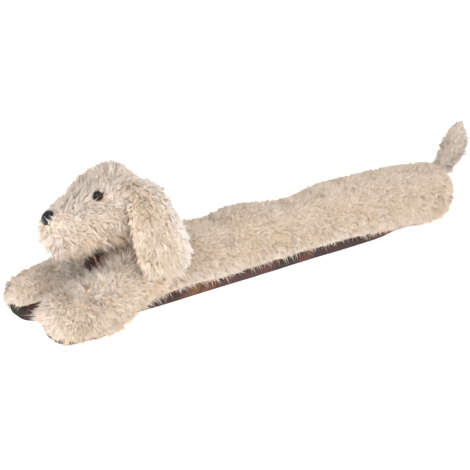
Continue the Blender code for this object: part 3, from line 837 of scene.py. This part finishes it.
def skin_paint():
    """The knitted cloth that the fur grows from, seen only between the locks, with shade painted
    round the eyes.
    """
    paint = Paint("fur_backing", roughness=0.95, specular_ior_level=0.1)
    colour = paint.ramp(paint.noise(60.0, 4.0), [(0.3, FUR_ROOT), (0.8, FUR_MIDDLE)])
    # Painted shade: the cloth turns dark brown within a ring round each eye.
    even = paint.node("VectorMath", {"operation": "ABSOLUTE"}, {0: paint.place()})
    corner = tuple(abs(value) for value in EYE_PLACE)
    away = paint.node("VectorMath", {"operation": "DISTANCE"}, {0: even, 1: corner}, output=1)
    eye_painted_shade = paint.ramp(away / 0.012, [(0.68, (1, 1, 1)), (0.92, (0, 0, 0))])
    paint.into("Base Color", paint.blend(eye_painted_shade, colour, FUR_PAINTED_SHADE))
    paint.bump(paint.noise(500.0, 4.0), 0.002)
    return paint.material


# The check: its yarns, and where each one's bands start along the cloth, in metres
PLUM = (0.070, 0.034, 0.029)
RUST = (0.170, 0.066, 0.036)
OCHRE = (0.200, 0.112, 0.030)
RUSSET = (0.112, 0.040, 0.028)
BOTTLE = (0.011, 0.017, 0.011)
COAL = (0.028, 0.015, 0.013)
MAROON = (0.052, 0.015, 0.011)
PINK = (0.600, 0.360, 0.300)
CHECK_REPEAT = 0.90
TWILL, YARN = 0.0022, 0.0011  # pitch of its slanted ribs and of its threads
EVEN_SHARE, EVEN_MIX = 0.55, (0.30, 0.30, 0.30)  # how far its ribs blend both ways' yarns
BRUSHED_SHARE, BRUSHED = 0.10, (0.20, 0.13, 0.11)
CHECK_BANDS = [
    (0.000, COAL), (0.105, PLUM), (0.115, RUST), (0.128, OCHRE), (0.141, RUSSET),
    (0.152, OCHRE), (0.160, RUST), (0.176, PLUM), (0.226, COAL), (0.230, PLUM),
    (0.270, RUSSET), (0.291, PLUM), (0.306, BOTTLE), (0.349, COAL), (0.357, RUSSET),
    (0.384, PLUM), (0.392, COAL), (0.525, PLUM), (0.545, RUSSET), (0.585, PLUM),
    (0.617, RUSSET), (0.641, COAL), (0.700, MAROON), (0.740, PINK), (0.742, COAL),
    (0.751, PINK), (0.753, MAROON), (0.763, PINK), (0.765, COAL), (0.774, PINK),
    (0.776, MAROON),
]


def check_paint():
    """Brushed check: bands that run both ways, crossed in a twill, with fine lines of yarn."""
    paint = Paint("check_cloth", roughness=0.9, specular_ior_level=0.1, sheen_weight=0.03)
    long = paint.node("SeparateXYZ", None, {0: paint.node("UVMap", {"uv_map": "cloth"})})
    wide = Amount(paint, long.output.node.outputs[1])
    bands = [(place / CHECK_REPEAT, yarn) for place, yarn in CHECK_BANDS]
    warp = long / CHECK_REPEAT
    warp = paint.ramp(warp.sum("FRACT", warp), bands, "CONSTANT")
    weft = wide / CHECK_REPEAT
    weft = paint.ramp(weft.sum("FRACT", weft), bands, "CONSTANT")
    slant = (long + wide) * (1 / TWILL)
    over = paint.ramp(slant.sum("FRACT", slant), [(0.0, (1, 1, 1)), (0.5, (0, 0, 0))], "CONSTANT")
    share = paint.blend(EVEN_SHARE, over, EVEN_MIX)
    colour = paint.blend(share, warp, weft)
    brushed = paint.noise(900.0, 5.0, 0.7)
    colour = paint.blend(brushed * BRUSHED_SHARE, colour, BRUSHED)
    paint.into("Base Color", colour)
    thread, cross = (way * (2 * math.pi / YARN) for way in (long, wide))
    threads = thread.sum("SINE", thread) * cross.sum("SINE", cross)
    paint.bump(threads * 0.5 + brushed, 0.0005, 0.8)
    return paint.material


BEAD_BLACK = (0.006, 0.006, 0.007, 1.0)
SMOOTH, DULL = (0.10, 0.10, 0.10), (0.24, 0.24, 0.24)
IRIS = [(0.40, (0.060, 0.026, 0.012)), (0.62, (0.010, 0.006, 0.005)), (0.74, (0.004, 0.004, 0.004))]


def bead_paint(name, centre=None, way=None):
    """Moulded black plastic; an eye has a dark brown ring outside its pupil."""
    paint = Paint(name, specular_ior_level=0.2, coat_weight=0.14, coat_roughness=0.04)
    paint.shader.inputs["Base Color"].default_value = BEAD_BLACK
    paint.into("Roughness", paint.ramp(paint.noise(900.0, 3.0), [(0.45, SMOOTH), (0.75, DULL)]))
    if centre is not None:
        inputs = {0: paint.place(), 1: tuple(centre)}
        inputs = {0: paint.node("VectorMath", {"operation": "SUBTRACT"}, inputs), 1: tuple(way)}
        facing = paint.node("VectorMath", {"operation": "DOT_PRODUCT"}, inputs, output=1)
        paint.into("Base Color", paint.ramp(facing / EYE_RADIUS, IRIS))
    return paint.material


DENT_PLACE, DENT_TALL, DENT_WIDE = -0.75, 0.35, 0.3  # in shares of a bead's radius


def bead(name, centre, radii, tilt, material, dent=0.0):
    """An egg-shaped bead tilted about Y: a sphere times its radii, with a shallow dent below."""
    rows, columns = 22, 30
    lean = np.linspace(0.0, math.pi, rows + 2)[1:-1, None]
    turn = np.linspace(0.0, 2 * math.pi, columns, endpoint=False)[None]
    across = np.sin(lean)
    ball = np.stack([-np.cos(lean) + 0 * turn, across * np.sin(turn), across * np.cos(turn)], -1)
    ball = np.concatenate([ball.reshape(-1, 3), [(-1.0, 0, 0), (1.0, 0, 0)]])
    below = ((ball[:, 2:] - DENT_PLACE) / DENT_TALL) ** 2
    ball = ball * (1.0 - dent * np.exp(-below - (ball[:, 1:2] / DENT_WIDE) ** 2))
    s, c = math.sin(tilt), math.cos(tilt)
    turn_y = np.array([[c, 0.0, s], [0.0, 1.0, 0.0], [-s, 0.0, c]])
    points = (ball * radii) @ turn_y.T + centre
    faces = outward(points, closed_faces(rows, columns))
    made = mesh_piece(name + "_bead", points, faces, material)
    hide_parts(name)


def slab_faces(rows, columns):
    """Quads of a closed sheet between two grids, with its rim."""
    size = rows * columns
    i, j = np.meshgrid(np.arange(rows - 1), np.arange(columns - 1), indexing="ij")
    a = i * columns + j
    top = np.stack([a, a + 1, a + columns + 1, a + columns], -1).reshape(-1, 4)
    rim = np.concatenate([
        np.arange(columns),
        np.arange(1, rows) * columns + columns - 1,
        (rows - 1) * columns + np.arange(columns - 2, -1, -1),
        np.arange(rows - 2, 0, -1) * columns,
    ])
    after = np.roll(rim, -1)
    wall = np.stack([rim, rim + size, after + size, after], -1)
    return np.concatenate([top, top[:, ::-1] + size, wall])


BASE_START, SOLE_START, CHEST_START = (0.0, 0.258), (0.200, 0.440), (0.760, 0.760)
CHEST_BIAS = math.radians(48)


def cloth_piece(name, grid, inside, material, start, bias=0.0):
    """A cut of cloth on a grid: its outer face, and a second face one cloth deeper.

    Its map is measured along the cloth itself, in metres, so the check follows the folds;
    start is where the cut lies in the check, and bias the angle it is turned by there.
    """
    rows, columns = grid.shape[:2]
    across = unit(np.cross(np.gradient(grid, axis=0), np.gradient(grid, axis=1)))
    across = across * np.sign(np.sum(across * (grid - inside), axis=-1, keepdims=True))
    points = np.concatenate([grid.reshape(-1, 3), (grid - across * CLOTH).reshape(-1, 3)])
    faces = outward(points, slab_faces(rows, columns))
    made = mesh_piece(name, points, faces, material)
    steps = np.linalg.norm(np.diff(grid, axis=0), axis=-1).mean(axis=1)
    long = np.concatenate([[0.0], np.cumsum(steps)])[:, None] + np.zeros((1, columns))
    steps = np.linalg.norm(np.diff(grid, axis=1), axis=-1)
    wide = np.concatenate([np.zeros((rows, 1)), np.cumsum(steps, axis=1)], axis=1)
    wide = wide - wide[:, -1:] / 2
    s, c = math.sin(bias), math.cos(bias)
    spots = np.stack([long * c - wide * s, long * s + wide * c], -1).reshape(-1, 2) + start
    spots = np.concatenate([spots, spots])
    layer = made.data.uv_layers.new(name="cloth")
    corners = np.empty(len(made.data.loops), np.int32)
    made.data.loops.foreach_get("vertex_index", corners)
    layer.uv.foreach_set("vector", spots[corners].astype(np.float32).ravel())
    a, b = grid[1:, :-1] - grid[:-1, :-1], grid[:-1, 1:] - grid[:-1, :-1]
    area = float(np.linalg.norm(np.cross(a, b), axis=-1).sum())
    node = name.removesuffix("_cloth")
    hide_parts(node)


PUCKER_PITCH, PUCKER_DEPTH = 0.021, 0.0006
FOLD_PITCH, FOLD_DEPTH = 3.5, 0.0008  # the folds' pitch against the puckers'
SEAM_SINK = 0.0004


def puckered(grid, spine, edge):
    """A cloth's surface with the small puckers of its seams and the soft folds between them.

    Sines along the cloth, of uneven pitch; edge is 0 at its middle and 1 at its seams.
    """
    x = grid[..., 0]
    pucker = np.sin(x * 2 * math.pi / PUCKER_PITCH + 3.0 * np.sin(x * 31.0)) * edge**4
    fold = x * 2 * math.pi / (FOLD_PITCH * PUCKER_PITCH)
    soft = np.sin(fold + 2.0 * np.sin(x * 17.0)) * edge**2
    moved = PUCKER_DEPTH * pucker + FOLD_DEPTH * soft - SEAM_SINK
    grid = grid + unit(grid - spine) * moved[..., None]
    grid[..., 2] = np.maximum(grid[..., 2], 0.0)
    return grid


def tucked(pile, edge):
    """Depth of a cloth under its form: as deep as the plush's own cloth along its seams."""
    return pile + (PLUSH_DEPTH - pile) * edge**6


def base_cloth(material):
    """The base cloth: the tube's surface under its pile, within the cloth's reach."""
    x = np.linspace(BASE_ROWS[0, 0], BASE_ROWS[-1, 0], 130)[:, None]
    share = np.linspace(-1.0, 1.0, 21)[None]
    angle = np.radians(along(BASE_ROWS, 1, x)) * share
    deep = tucked(PILE, np.abs(share))
    height = along(TUBE_ROWS, 2, x) - deep
    y, z = section(angle, along(TUBE_ROWS, 1, x) - deep, height, BELLY_SINK)
    x = x + 0 * angle
    spine = np.stack([x, 0 * x, height / 2 + 0 * x], axis=-1)
    z = z + heel_lift(x, z, height)
    grid = puckered(np.stack([x, y, z], axis=-1), spine, np.abs(share) + 0 * x)
    cloth_piece("base_panel_cloth", grid, spine, material, BASE_START)


def sole_cloth(name, material):
    """A sole: the foreleg's surface under its pile, further up its inner than its outer side."""
    x = np.linspace(SOLE_ROWS[0, 0], SOLE_ROWS[-1, 0], 34)[:, None]
    outer, inner = (np.radians(along(SOLE_ROWS, i, x)) for i in (1, 2))
    share = np.linspace(0.0, 1.0, 27)[None]
    angle = (outer + inner) * share - outer
    low = np.maximum(along(LEG_ROWS, 3, x), 0.0)
    ends = np.linspace(-1.0, 1.0, 34)[:, None]
    edge = np.maximum(np.abs(2 * share - 1), np.abs(ends))
    deep = tucked(SOLE_PILE, edge)
    height = along(LEG_ROWS, 4, x) - low - deep
    full = dome(x, LEG_FRONT + deep, LEG_ROWS[0, 0], LEG_DOMES, LEG_POWER)
    y, z = section(angle, along(LEG_ROWS, 2, x) - deep, height, LEG_SINK)
    x = x + 0 * angle
    across = leg_middle(x, name) - SIDES[name] * y * full
    grid = np.stack([x, across, low + height / 2 + (z - height / 2) * full], axis=-1)
    spine = np.stack([x, leg_middle(x, name), low + height / 2 + 0 * x], axis=-1)
    grid = puckered(grid, spine, np.abs(2 * share - 1) + 0 * x)
    cloth_piece(f"sole_{name}_cloth", grid, spine, material, SOLE_START)


def chest_cloth(material):
    """The chest patch: a square grid rounded to a superellipse, laid on the tube's front dome."""
    s, t = np.meshgrid(np.linspace(-1, 1, 23), np.linspace(-1, 1, 27), indexing="ij")
    size = np.maximum(np.abs(s), np.abs(t))
    length = np.maximum((np.abs(s) ** CHEST_POWER + np.abs(t) ** CHEST_POWER), 1e-9)
    size = size / length ** (1 / CHEST_POWER)
    middle = (CHEST_LOW + CHEST_HIGH) / 2
    y = s * size * CHEST_HALF_WIDTH
    z = middle + t * size * (CHEST_HIGH - middle)
    share = np.hypot(y / CHEST_ROUND[0], (z - middle) / CHEST_ROUND[1])
    x = TUBE_FRONT + PILE + TUBE_DOMES[0] * (1 - (1 - share**3) ** (1 / 3))
    grid = np.stack([x, y, z], axis=-1)
    inside = 0 * grid + (TUBE_FRONT + 0.1, 0.0, middle)
    cloth_piece("chest_panel_cloth", grid, inside, material, CHEST_START, CHEST_BIAS)


# Studio: each lamp's name, place, aim, size in metres and watts, and the camera's own axes
LAMPS = (
    ("key", (-1.5, -1.1, 1.5), (-0.1, 0.0, 0.1), 1.0, 7.0),
    ("low", (-1.6, -0.7, 0.30), (-0.36, 0.0, 0.08), 0.8, 11.0),
    ("front", (-1.3, -1.6, 0.8), (-0.1, 0.0, 0.1), 1.0, 1.5),
    ("back", (0.7, -1.5, 1.3), (0.45, 0.0, 0.14), 1.0, 11.0),
    ("top", (0.0, 0.1, 2.3), (0.0, 0.0, 0.1), 1.6, 3.5),
    ("tail_fill", (-0.2, -1.1, 0.5), (0.48, 0.0, 0.15), 0.6, 1.8),
    ("rim", (0.5, 1.7, 1.3), (0.0, 0.0, 0.12), 1.6, 6.0),
)
WHITE = (1.0, 1.0, 1.0, 1.0)
FLOOR_SIZE, FLOOR_GLOW = 9.0, 0.90
LENS, FILM = 76.6, 36.0
CAMERA_PLACE = (-1.0353, -1.2060, 0.6301)
CAMERA_RIGHT = Vector((0.7772, -0.6293, 0.0))
CAMERA_AHEAD = Vector((0.5926, 0.7319, -0.3366))
CAMERA_UP = Vector((0.2118, 0.2616, 0.9417))


def plain_lamp(name, place, aim, size, watts):
    lamp = bpy.data.lights.new(name, "AREA")
    lamp.shape = "DISK"
    lamp.size = size
    lamp.energy = watts
    made = bpy.data.objects.new(name, lamp)
    made.location = place
    made.rotation_euler = (Vector(aim) - Vector(place)).to_track_quat("-Z", "Y").to_euler()
    bpy.context.scene.collection.objects.link(made)


def studio_floor():
    """A plain white square on the ground, which glows a little so that it stays white."""
    paint = Paint("studio_floor", roughness=0.9, specular_ior_level=0.0)
    tone = paint.ramp(paint.noise(3.0), [(0.0, (0.80, 0.80, 0.80)), (1.0, (0.82, 0.82, 0.82))])
    paint.into("Base Color", tone)
    paint.shader.inputs["Emission Color"].default_value = WHITE
    paint.shader.inputs["Emission Strength"].default_value = FLOOR_GLOW
    corners = np.array([(-1, -1, 0), (1, -1, 0), (1, 1, 0), (-1, 1, 0)]) * FLOOR_SIZE
    mesh = bpy.data.meshes.new("floor")
    mesh.from_pydata(corners.tolist(), [], [(0, 1, 2, 3)])
    floor = bpy.data.objects.new("floor", mesh)
    mesh.materials.append(paint.material)
    bpy.context.scene.collection.objects.link(floor)


def studio():
    """White floor and soft white light, and the camera at the photograph's viewing angle."""
    scene = bpy.context.scene
    scene.view_settings.view_transform = "Standard"
    world = bpy.data.worlds.new("studio")
    world.use_nodes = True
    world.node_tree.nodes["Background"].inputs["Color"].default_value = WHITE
    world.node_tree.nodes["Background"].inputs["Strength"].default_value = 1.0
    scene.world = world
    for lamp in LAMPS:
        plain_lamp(*lamp)
    studio_floor()
    lens = bpy.data.cameras.new("camera")
    lens.lens, lens.sensor_width = LENS, FILM
    lens.clip_start, lens.clip_end = 0.05, 60.0
    camera = bpy.data.objects.new("camera", lens)
    turn = Matrix((CAMERA_RIGHT, CAMERA_UP, -CAMERA_AHEAD)).transposed()
    camera.matrix_world = Matrix.Translation(CAMERA_PLACE) @ turn.to_4x4()
    scene.collection.objects.link(camera)
    scene.camera = camera


def base_reach(places):
    """The angle from straight down of points on the tube, over the base cloth's reach there."""
    x = places[:, 0]
    middle = along(TUBE_ROWS, 2, x) / 2
    down = np.arctan2(np.abs(places[:, 1]), middle - places[:, 2])
    reach = np.radians(along(BASE_ROWS, 1, x))
    reach = np.where((x > BASE_ROWS[0, 0]) & (x < BASE_ROWS[-1, 0]), reach, 0.0)
    return down, reach


def above_sole(places, name):
    """Metres from each point on a foreleg to the edge of its sole, negative on the sole."""
    x = places[:, 0]
    inner = (leg_middle(x, name) - places[:, 1]) * SIDES[name]
    middle = (along(LEG_ROWS, 3, x) + along(LEG_ROWS, 4, x)) / 2
    angle = np.arctan2(inner, middle - places[:, 2])
    outer_reach, inner_reach = (np.radians(along(SOLE_ROWS, i, x)) for i in (1, 2))
    beside = np.maximum(angle - inner_reach, -outer_reach - angle) * along(LEG_ROWS, 2, x)
    return np.maximum(beside, np.maximum(SOLE_ROWS[-1, 0] - x, x - SOLE_ROWS[0, 0]))


def grow(name, skin, count, coat, growth_at, keep, material, seed, splits=1):
    """Fur on a skin: places drawn on it, those not kept dropped, and the rest made locks."""
    places, out = scatter(skin, count, seed)
    growth = growth_at(places, out)
    middle, tip, shade, wisp = lock_lines(places, out, growth, coat, seed + 1)
    root = places - out * ROOT_DEPTH
    low, high = (np.array(corner) for corner in cad_box)
    within = np.all((tip > low - PROUD) & (tip < high + PROUD), axis=1)
    kept = keep(places, middle, tip) & within
    # Each lock keeps its paleness, which is mostly painted light, and its painted shade.
    pale, dusk = growth.pale + 0 * shade, growth.dusk + 0 * shade
    width = coat.width * np.where(wisp, WISP_WIDTH, 1.0)
    root, middle, tip, out, shade, pale, dusk, width = (
        a[kept] for a in (root, middle, tip, out, shade, pale, dusk, width)
    )
    order = np.argsort(root[:, 0], kind="stable")
    for part, chosen in enumerate(np.array_split(order, splits)):
        label = f"{name}_{part + 1}" if splits > 1 else name
        lines = (root[chosen], middle[chosen], tip[chosen])
        looks = {"shade": shade[chosen], "pale": pale[chosen], "dusk": dusk[chosen]}
        piece = fur_piece(label, lines, out[chosen], width[chosen], looks, material, seed + 2)


def clear_of(*tests, root=0.007, middle=0.009):
    """True where a lock's root and middle are not deep inside the neighbouring forms."""

    def keep(places, middles, tips):
        good = np.ones(len(places), bool)
        for test in tests:
            good &= (test(places) < root) & (test(middles) < middle)
        return good

    return keep


# Fur of the tube: where it changes, in metres, with the reach of each change
NECK_PLACE, NECK_REACH = (-0.305, 0.030, 0.100), 0.030
BIB_PLACE, BIB_REACH = (-0.335, 0.000, 0.068), 0.020
SHOULDER_END, SHOULDER_REACH, SHOULDER_STAND = -0.10, 0.10, 0.45
REAR_START, REAR_REACH = 0.40, 0.03
SEAM_REACH = 0.5  # radians above the base cloth
SEAM_ROOM = 0.06  # radians of bare edge along it
CHEST_BACK, CHEST_SHOWS_Z, CHEST_SHOWS_Y = -0.30, 0.077, -0.019


def body_growth(places, out):
    """The tube's fur hangs down, and back along its crown.

    It is longer at the neck and the bib and at the rear end's rims, shorter over the crown
    and the flat of the rear end, and upright at the shoulders; light is painted on it as
    paleness over the crown and along the seams.
    """
    down, reach = base_reach(places)
    seam = np.clip(1.0 - (down - reach) / SEAM_REACH, 0.0, 1.0)
    neck = bell(places, NECK_PLACE, NECK_REACH)
    bib = bell(places, BIB_PLACE, BIB_REACH)
    shoulder = np.clip((SHOULDER_END - places[:, 0]) / SHOULDER_REACH, 0.0, SHOULDER_STAND)
    end = np.clip((places[:, 0] - REAR_START) / REAR_REACH, 0.0, 1.0)
    rear, crown, low = (np.clip(way, 0, 1) for way in (out[:, 0], out[:, 2], -out[:, 2]))
    back = 0.30 + 1.6 * crown**2
    comb = np.stack([back, 0 * back, 0 * back - 1.0], -1)
    corner = 1.1 * rear * crown + 1.9 * rear * low - 0.62 * rear**2 - 0.40 * low
    longer = (1.0 + 0.6 * neck) * (1.0 + end * corner) * (1.0 - 0.32 * crown)
    longer = longer * (1.0 + 0.5 * bib)
    stand = np.maximum(np.maximum(neck, bib), np.maximum(shoulder, 0.4 * end * rear))
    stand = np.maximum(stand, 0.32 * crown**2)
    # Painted light: paler on the crown, where light falls from above, and along the seams, where
    # light comes up from the floor.
    return Growth(comb, longer, stand, 0.30 * crown**2 + 0.55 * seam)


def body_keep(places, middles, tips):
    """No fur on the base cloth, on the part of the chest cloth that shows, or in neighbours."""
    down, reach = base_reach(places)
    middle, half_height = (CHEST_LOW + CHEST_HIGH) / 2, (CHEST_HIGH - CHEST_LOW) / 2
    aside = np.abs(places[:, 1]) / CHEST_HALF_WIDTH
    above = np.abs(places[:, 2] - middle) / half_height
    chest = (aside**CHEST_POWER + above**CHEST_POWER < 1.0) & (places[:, 0] < CHEST_BACK)
    chest &= (places[:, 2] > CHEST_SHOWS_Z) & (places[:, 1] > CHEST_SHOWS_Y)
    beyond = (places[:, 0] < BASE_ROWS[0, 0]) | (places[:, 0] > BASE_ROWS[-1, 0])
    good = (beyond | (down > reach + SEAM_ROOM)) & ~chest
    return good & clear_of(in_head, *IN_LEGS.values())(places, middles, tips)


# Fur of the head: how it opens round the eyes and the nose
COMB_START = (-0.02, 0.0, 0.0)  # from the nose to where the fur is combed away from
LIP_SHIFT, LIP_REACH = (0.004, -0.012, -0.005), 0.009
EYE_OPEN = {"left": 1.0, "right": 0.66}
EYE_ROOMS = (0.0070, 0.0079, 0.0078)  # for a lock's root, middle and tip
NOSE_SHIFT = (0.007, -0.001, -0.002)
NOSE_ROOM = (0.0125, 0.0104, 0.0118)
NOSE_ROOMS = (0.9, 1.0, 1.0)  # in shares of that room, for a lock's root, middle and tip


def head_growth(places, out):
    """The head's fur runs back from the nose and down, and over the nose's lower edge.

    It has light painted on as paleness on top and in front, and shade painted on close round the
    eyes, in the ears' folds and at the ears' roots.
    """
    back = places - (NOSE_PLACE + COMB_START)
    comb = unit(back) + np.array([0.0, 0.0, -0.45])
    # Painted light: paler on top and in front, where the light falls.
    pale = np.clip(1.2 * np.maximum(out[:, 2], -out[:, 0]) - 0.2, 0.0, 0.65)
    longer, stand = spotted(places, HEAD_SPOTS)
    lip = NOSE_PLACE + LIP_SHIFT
    over = np.exp(-np.sum((places - lip) ** 2, axis=1) / LIP_REACH**2)[:, None]
    comb = unit(comb) * (1.0 - over) + unit(NOSE_PLACE - places) * 1.2 * over
    longer = longer * (1.0 + 0.2 * over[:, 0])
    # Painted shade: dark round the eyes on the head's sides, in the folds beside the ears and at
    # the ears' roots.
    folds = (np.clip(1.0 + ear(places) / 0.009, 0.0, 1.0) for ear in IN_EARS.values())
    side = np.clip(3.0 * np.abs(out[:, 1]) - 0.9, 0.0, 1.0)
    dusk = np.clip(2.4 * bell(places, EYE_PLACE, 0.0095) - 0.6, 0.0, 0.9) * side
    dusk = np.maximum(dusk, 0.15 * np.maximum(*folds) + 0.3 * bell(places, EAR_ROOT, 0.006))
    return Growth(comb, longer, stand, pale, dusk)


def head_keep(places, middles, tips):
    """No fur inside the tube, legs or ears, in a ball round each eye, or in the nose's room."""
    good = clear_of(in_tube, *IN_LEGS.values())(places, middles, tips)
    good &= clear_of(*IN_EARS.values(), root=0.006, middle=0.006)(places, middles, tips)
    for name, side in SIDES.items():
        eye = EYE_PLACE * (1, side, 1)
        seen = eye + np.array([-0.0012, 0.0030 * side, -0.0012])
        for spot, room in zip((places, middles, tips), EYE_ROOMS):
            good &= np.linalg.norm(spot - seen, axis=1) > room * EYE_OPEN[name]
    for spot, share in zip((places, middles, tips), NOSE_ROOMS):
        away = (spot - NOSE_PLACE + NOSE_SHIFT) / NOSE_ROOM
        good &= np.linalg.norm(away, axis=1) > share
    return good


# Fur of the forelegs: the whorl on top that it turns round, and the fringe over the sole
WHORL_X, WHORL_ASIDE, WHORL_Z, WHORL_REACH = -0.385, 0.045, 0.070, 0.034
FRINGE = 0.013  # its breadth
FRINGE_RISE = {"left": 3.6, "right": 0.3}  # how steeply it is combed
FRINGE_LENGTH = {"left": 0.45, "right": 0.62}  # against the rest
FRINGE_START = {"left": 0.001, "right": -0.001}  # metres above the sole's edge


def leg_fur(name, skin, material, seed):
    """A foreleg's fur runs outward from its whorl, down and forward, and is shorter below."""

    def growth_at(places, out):
        hem = np.clip(above_sole(places, name) / FRINGE, 0.0, 1.0)
        hem = np.where(places[:, 0] < SOLE_ROWS[-1, 0], 1.0, hem)
        whorl = np.array([WHORL_X, leg_middle(WHORL_X, name) - WHORL_ASIDE, WHORL_Z])
        inner = bell(places, whorl, WHORL_REACH, mirrored=False)[:, None]
        fore = np.clip((places[:, 0] + 0.370) / 0.05, -1.0, 1.0)
        comb = unit(places - whorl) * 0.55 * (1.0 - inner)
        comb = comb + np.stack([0.75 * fore, 0 * fore, 0 * fore - 0.85], -1)
        comb = comb + (1.0 - hem)[:, None] * np.array([-1.6, 0.0, FRINGE_RISE[name]])
        longer, stand = spotted(places, PAW_SPOTS[name])
        stand = np.maximum(stand, 0.35 * inner[:, 0])
        # Painted light: paler on the front faces, and in a pool under the jaw where the head shades
        # the leg.
        pale = 0.5 * np.clip(-out[:, 0], 0, 1)
        pale = np.maximum(pale, 0.9 * bell(places, (-0.360, 0.035, 0.095), 0.045))
        low = np.clip(1.0 - places[:, 2] / 0.03, 0.0, 1.0)
        least = FRINGE_LENGTH[name]
        longer = longer * (least + (1.0 - least) * hem) * (1.0 - 0.30 * low)
        return Growth(comb, longer, stand, pale)

    def keep(places, middles, tips):
        other = IN_LEGS["right" if name == "left" else "left"]
        good = above_sole(places, name) > FRINGE_START[name]
        return good & clear_of(in_tube, in_head, other)(places, middles, tips)

    grow(f"paw_{name}_fur", skin, LOCKS["paw"], COATS["paw"], growth_at, keep, material, seed)


def ear_fur(name, skin, material, seed):
    """An ear's fur hangs down and fans out to its edges, and is pale on its rear half."""

    def growth_at(places, out):
        rows = EAR_ROWS[:, [2, 0, 3]][::-1]
        z = places[:, 2]
        share = (places[:, 0] - along(rows, 1, z)) / along(rows, 2, z)
        comb = np.stack([0.9 * share, 0 * share, 0 * share - 1.0], -1)
        pale = np.clip((share - 0.30) / 0.4, 0.0, 1.0)
        longer, stand = spotted(np.abs(places) * (-1, 1, 1), EAR_CORNERS)
        # Painted shade in the fold at the ear's root.
        return Growth(comb, longer, stand, pale, 0.3 * bell(places, EAR_ROOT, 0.008))

    keep = clear_of(in_head, in_tube, IN_LEGS[name], root=0.008, middle=0.004)
    grow(f"ear_{name}_fur", skin, LOCKS["ear"], COATS["ear"], growth_at, keep, material, seed)


def tail_growth(places, out):
    """The tail's fur runs up to its tip, longer behind and shorter near the tip."""
    tip = np.clip((places[:, 2] - 0.140) / 0.035, 0.0, 1.0)
    longer = (1.0 - 0.45 * tip) * (0.92 + 0.30 * out[:, 0])
    comb = np.array([0.2, 0.0, 1.0]) + 0 * places
    # Painted light: the whole tail is made paler to stand in for light it lacks.
    return Growth(comb, longer, 0.25 - 0.10 * tip, 0.65)


def stuffed(name, form, inset, rows, columns, material):
    """A stuffed piece's cloth, which takes its solid's place; its fur grows from the skin."""
    skin = furry(form, inset)
    piece = skin_piece(name + "_skin", skin, rows, columns, material)
    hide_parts(name)
    return skin


COATS = {
    "body": Coat(
        0.0110, 0.0015, 60, 32,
        clump=0.07, gather=0.25, swirl=0.40, curl=0.60, wisps=0.19, tufts=0.45,
    ),
    "head": Coat(0.0106, 0.0015, 53, 27, gather=0.26, wisps=0.19),
    "paw": Coat(0.0118, 0.0015, 55, 28, clump=0.055, gather=0.25, swirl=0.60),
    "ear": Coat(0.0112, 0.0016, 44, 16, gather=0.30, swirl=0.20, curl=0.30, wisps=0.08),
    "tail": Coat(0.0120, 0.0014, 44, 28, gather=0.42, curl=0.35, wisps=0.36),
}
LOCKS = {"body": 115000, "head": 27300, "paw": 26000, "ear": 10600, "tail": 6300}
IN_LEGS = {name: in_leg(name) for name in SIDES}
IN_EARS = {name: in_ear(name) for name in SIDES}


def build():
    fur, backing, check = fur_paint(), skin_paint(), check_paint()
    studio()
    body_skin = stuffed("body", tube, PLUSH_DEPTH, 96, 56, backing)
    head_skin = stuffed("head", head, HEAD_DEPTH, 48, 64, backing)
    leg_skins = {
        n: stuffed("paw_" + n, leg(n), PLUSH_DEPTH, 44, 48, backing) for n in SIDES
    }
    ear_skins = {
        n: stuffed("ear_" + n, flap(EAR_ROWS, side), EAR_DEPTH, 40, 40, backing)
        for n, side in SIDES.items()
    }
    tail_skin = stuffed("tail", flap(TAIL_ROWS, 1), TAIL_DEPTH, 32, 28, backing)
    for name, skin, growth_at, keep, seed, splits in (
        ("body", body_skin, body_growth, body_keep, 21, 3),
        ("head", head_skin, head_growth, head_keep, 31, 1),
    ):
        grow(name + "_fur", skin, LOCKS[name], COATS[name], growth_at, keep, fur, seed, splits)
    for index, name in enumerate(SIDES):
        leg_fur(name, leg_skins[name], fur, 41 + 5 * index)
        ear_fur(name, ear_skins[name], fur, 61 + 5 * index)
    keep = clear_of(in_tube)
    grow("tail_fur", tail_skin, LOCKS["tail"], COATS["tail"], tail_growth, keep, fur, 81)
    base_cloth(check)
    chest_cloth(check)
    for name in SIDES:
        sole_cloth(name, check)
    bead("nose", NOSE_PLACE, NOSE_RADII, NOSE_TILT, bead_paint("nose_plastic"), dent=0.10)
    for name, side in SIDES.items():
        place = EYE_PLACE * (1, side, 1)
        way = unit(np.array([-0.55, 0.70 * side, 0.45]))
        paint = bead_paint("eye_plastic_" + name, place, way)
        bead("eye_" + name, place, (EYE_RADIUS,) * 3, 0.0, paint)


build()
